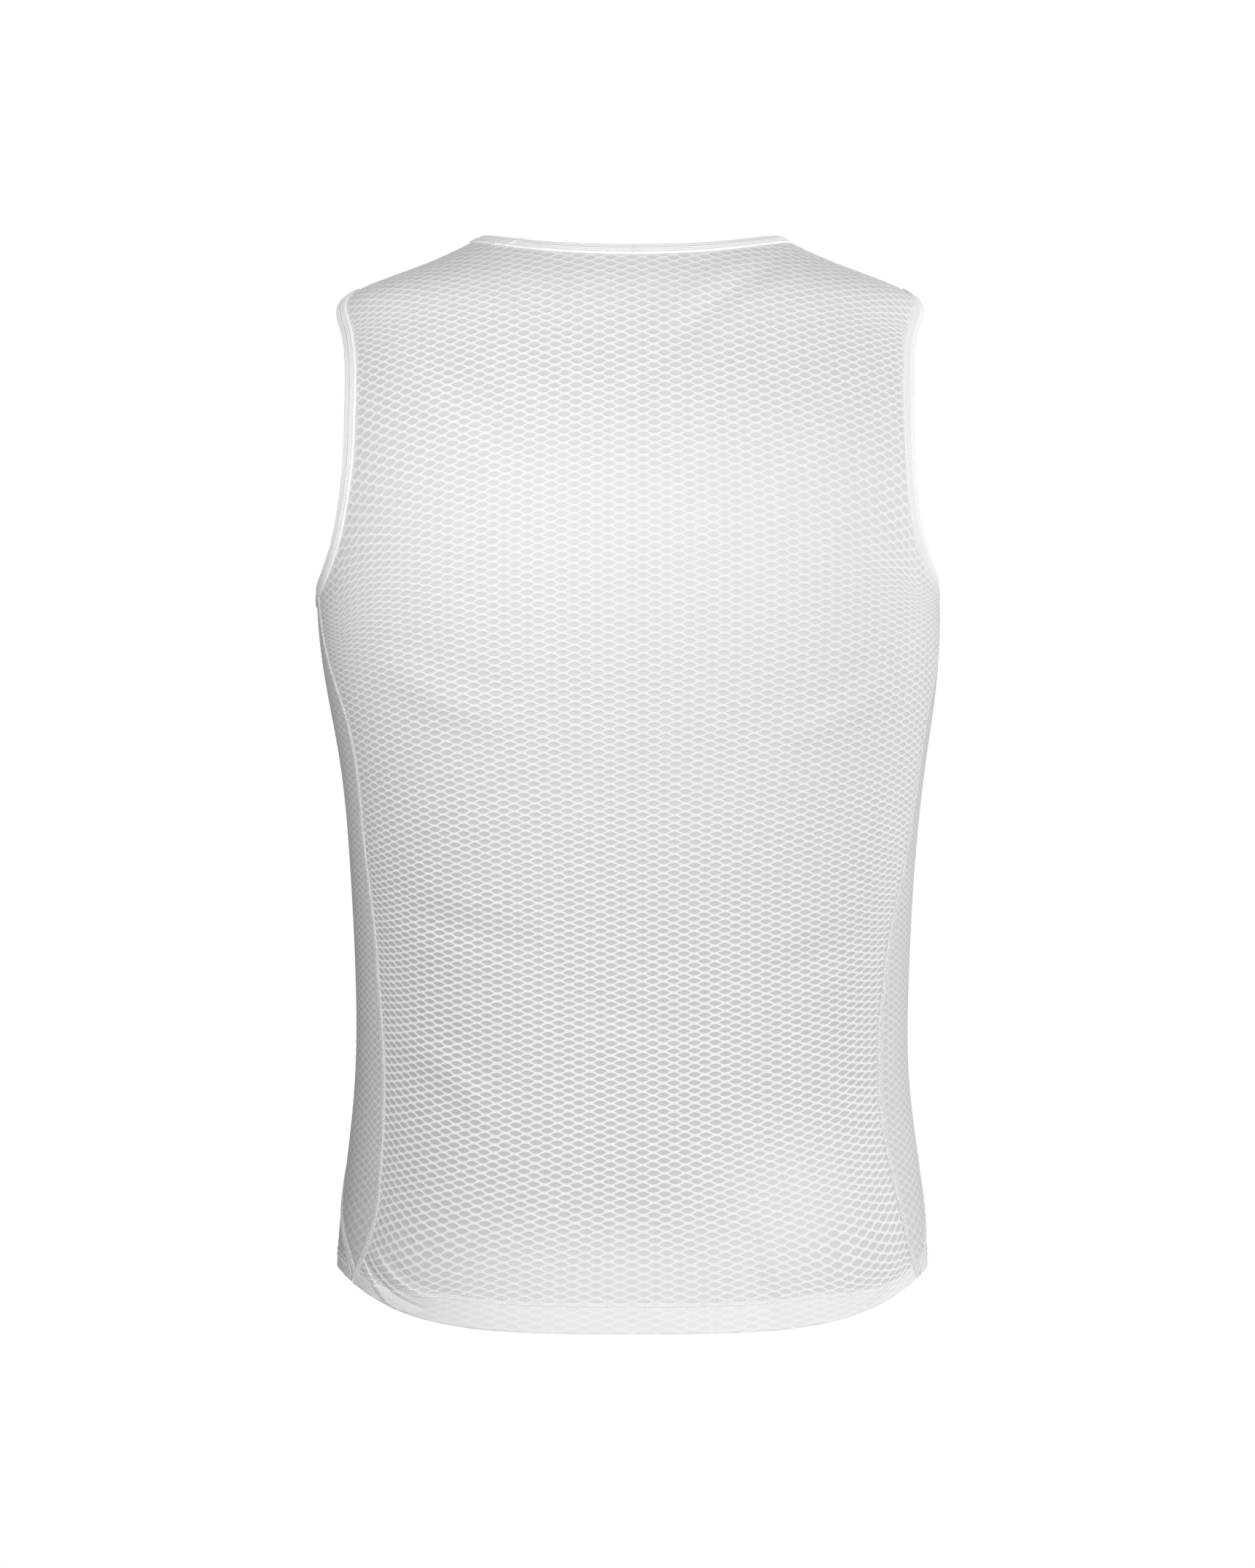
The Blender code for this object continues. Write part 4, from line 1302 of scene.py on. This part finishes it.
def hemStitches(name, behind):
    # rows of stitches that follow the hem's line from the centre to each seam
    parts = []
    for side in (1, -1):
        seam = edges[side]["backSeam" if behind else "frontSeam"]
        angle = np.linspace(bodyAngle(0.5, behind), seam[0, 0], 200)
        for above in hemSewing["rows"]:
            height = hemHeight(angle) + hemTurn(angle) - hemSewing["below"] + above
            path = sidePath(spaced(np.stack([angle, height], axis=1), side, hemSewing["step"]), side)
            parts.append(stitchRow(path, hemSewing["pitch"], [0.0], hemSewing["lift"]))
    joined = [np.concatenate(group) for group in zip(*parts)]
    piece = grains(name, *joined, hemSewing["size"], sewingThread)
    return piece


hemThreads = {
    "back": hemStitches("hem_stitches_back", True),
    "front": hemStitches("hem_stitches_front", False),
}
print("hem sewn")

# The studio.

studio = {
    "floorHeight": -0.92,
    "floorRadius": 0.6,
    "floorSides": 96,
    "fadeFrom": 0.12,
    "cameraPlace": (0.0024, 3.0, -0.3248),
    "lens": 116.8,
    "sensor": 36.0,
    # degrees round from the camera's side toward its right, and degrees up, from the target
    "lampNames": ("name", "round", "up", "power", "distance", "size"),
    "lamps": (
        ("key", 4, 2, 61.0, 3.2, 2.2),
        ("right", 62, 8, 51.0, 3.2, 2.2),
        ("farRight", 118, 8, 42.0, 3.2, 2.2),
        ("far", 182, 18, 58.0, 3.2, 2.2),
        ("farLeft", -118, 8, 4.5, 3.2, 2.2),
        ("left", -45, 16, 3.4, 0.9, 0.6),
        ("overhead", 180, 78, 29.0, 3.2, 2.2),
    ),
    "target": (0.0, 0.0, -0.32),
}


def aim(thing, target):
    # turns a lamp's own -Z to the target
    way = mathutils.Vector(target) - thing.location
    thing.rotation_euler = way.to_track_quat("-Z", "Y").to_euler()


def makeFloor():
    # a round pale floor whose rim fades out into the background
    sides = studio["floorSides"]
    turn = np.linspace(0, 2 * np.pi, sides, endpoint=False)
    radius, height = studio["floorRadius"], np.full(sides, studio["floorHeight"])
    rim = np.stack([np.cos(turn) * radius, np.sin(turn) * radius, height], axis=1)
    material, tree, shader = newMaterial("mattWhiteStudioFloor")
    coords = addNode(tree, "TexCoord", {}).outputs["Object"]
    level = addNode(tree, "VectorMath", {0: coords, 1: (1, 1, 0)}, operation="MULTIPLY").outputs[0]
    far = addNode(tree, "VectorMath", {0: level}, operation="LENGTH").outputs["Value"]
    ends = {"Value": far, "From Min": studio["fadeFrom"], "From Max": radius * 0.98, "To Min": 1, "To Max": 0}
    alpha = addNode(tree, "MapRange", ends, interpolation_type="SMOOTHSTEP").outputs[0]
    setInputs(tree, shader, {"Alpha": alpha, "Base Color": linear("#FFFFFF"), "Roughness": 0.9})
    mesh = bpy.data.meshes.new("studio_floor")
    mesh.from_pydata(rim.tolist(), [], [range(sides)])
    mesh.materials.append(material)
    floor = bpy.data.objects.new("studio_floor", mesh)
    bpy.context.scene.collection.objects.link(floor)


def makeStudio():
    # the lamps stand round the target, the background is white, and the camera is behind the wearer
    scene = bpy.context.scene
    for row in studio["lamps"]:
        lampRow = dict(zip(studio["lampNames"], row))
        data = bpy.data.lights.new(lampRow["name"], "AREA")
        data.shape = "DISK"
        data.size = lampRow["size"]
        data.energy = lampRow["power"]
        lamp = bpy.data.objects.new(lampRow["name"], data)
        turn, up = np.radians(lampRow["round"]), np.radians(lampRow["up"])
        way = np.array([-np.sin(turn) * np.cos(up), np.cos(turn) * np.cos(up), np.sin(up)])
        lamp.location = np.array(studio["target"]) + way * lampRow["distance"]
        lamp.visible_camera = False
        aim(lamp, studio["target"])
        scene.collection.objects.link(lamp)
    world = bpy.data.worlds.new("studio_white")
    world.use_nodes = True
    setInputs(world.node_tree, world.node_tree.nodes["Background"], {"Color": (1, 1, 1, 1), "Strength": 1.0})
    scene.world = world
    world.cycles_visibility.diffuse = False  # the background is seen, and the lamps alone light the cloth
    world.cycles_visibility.glossy = False
    scene.view_settings.view_transform = "Standard"
    data = bpy.data.cameras.new("camera")
    data.lens = studio["lens"]
    data.sensor_width = studio["sensor"]
    camera = bpy.data.objects.new("camera", data)
    camera.location = studio["cameraPlace"]
    camera.rotation_euler = (np.pi / 2, 0, np.pi)
    scene.collection.objects.link(camera)
    scene.camera = camera


makeFloor()
makeStudio()
print("studio ready")
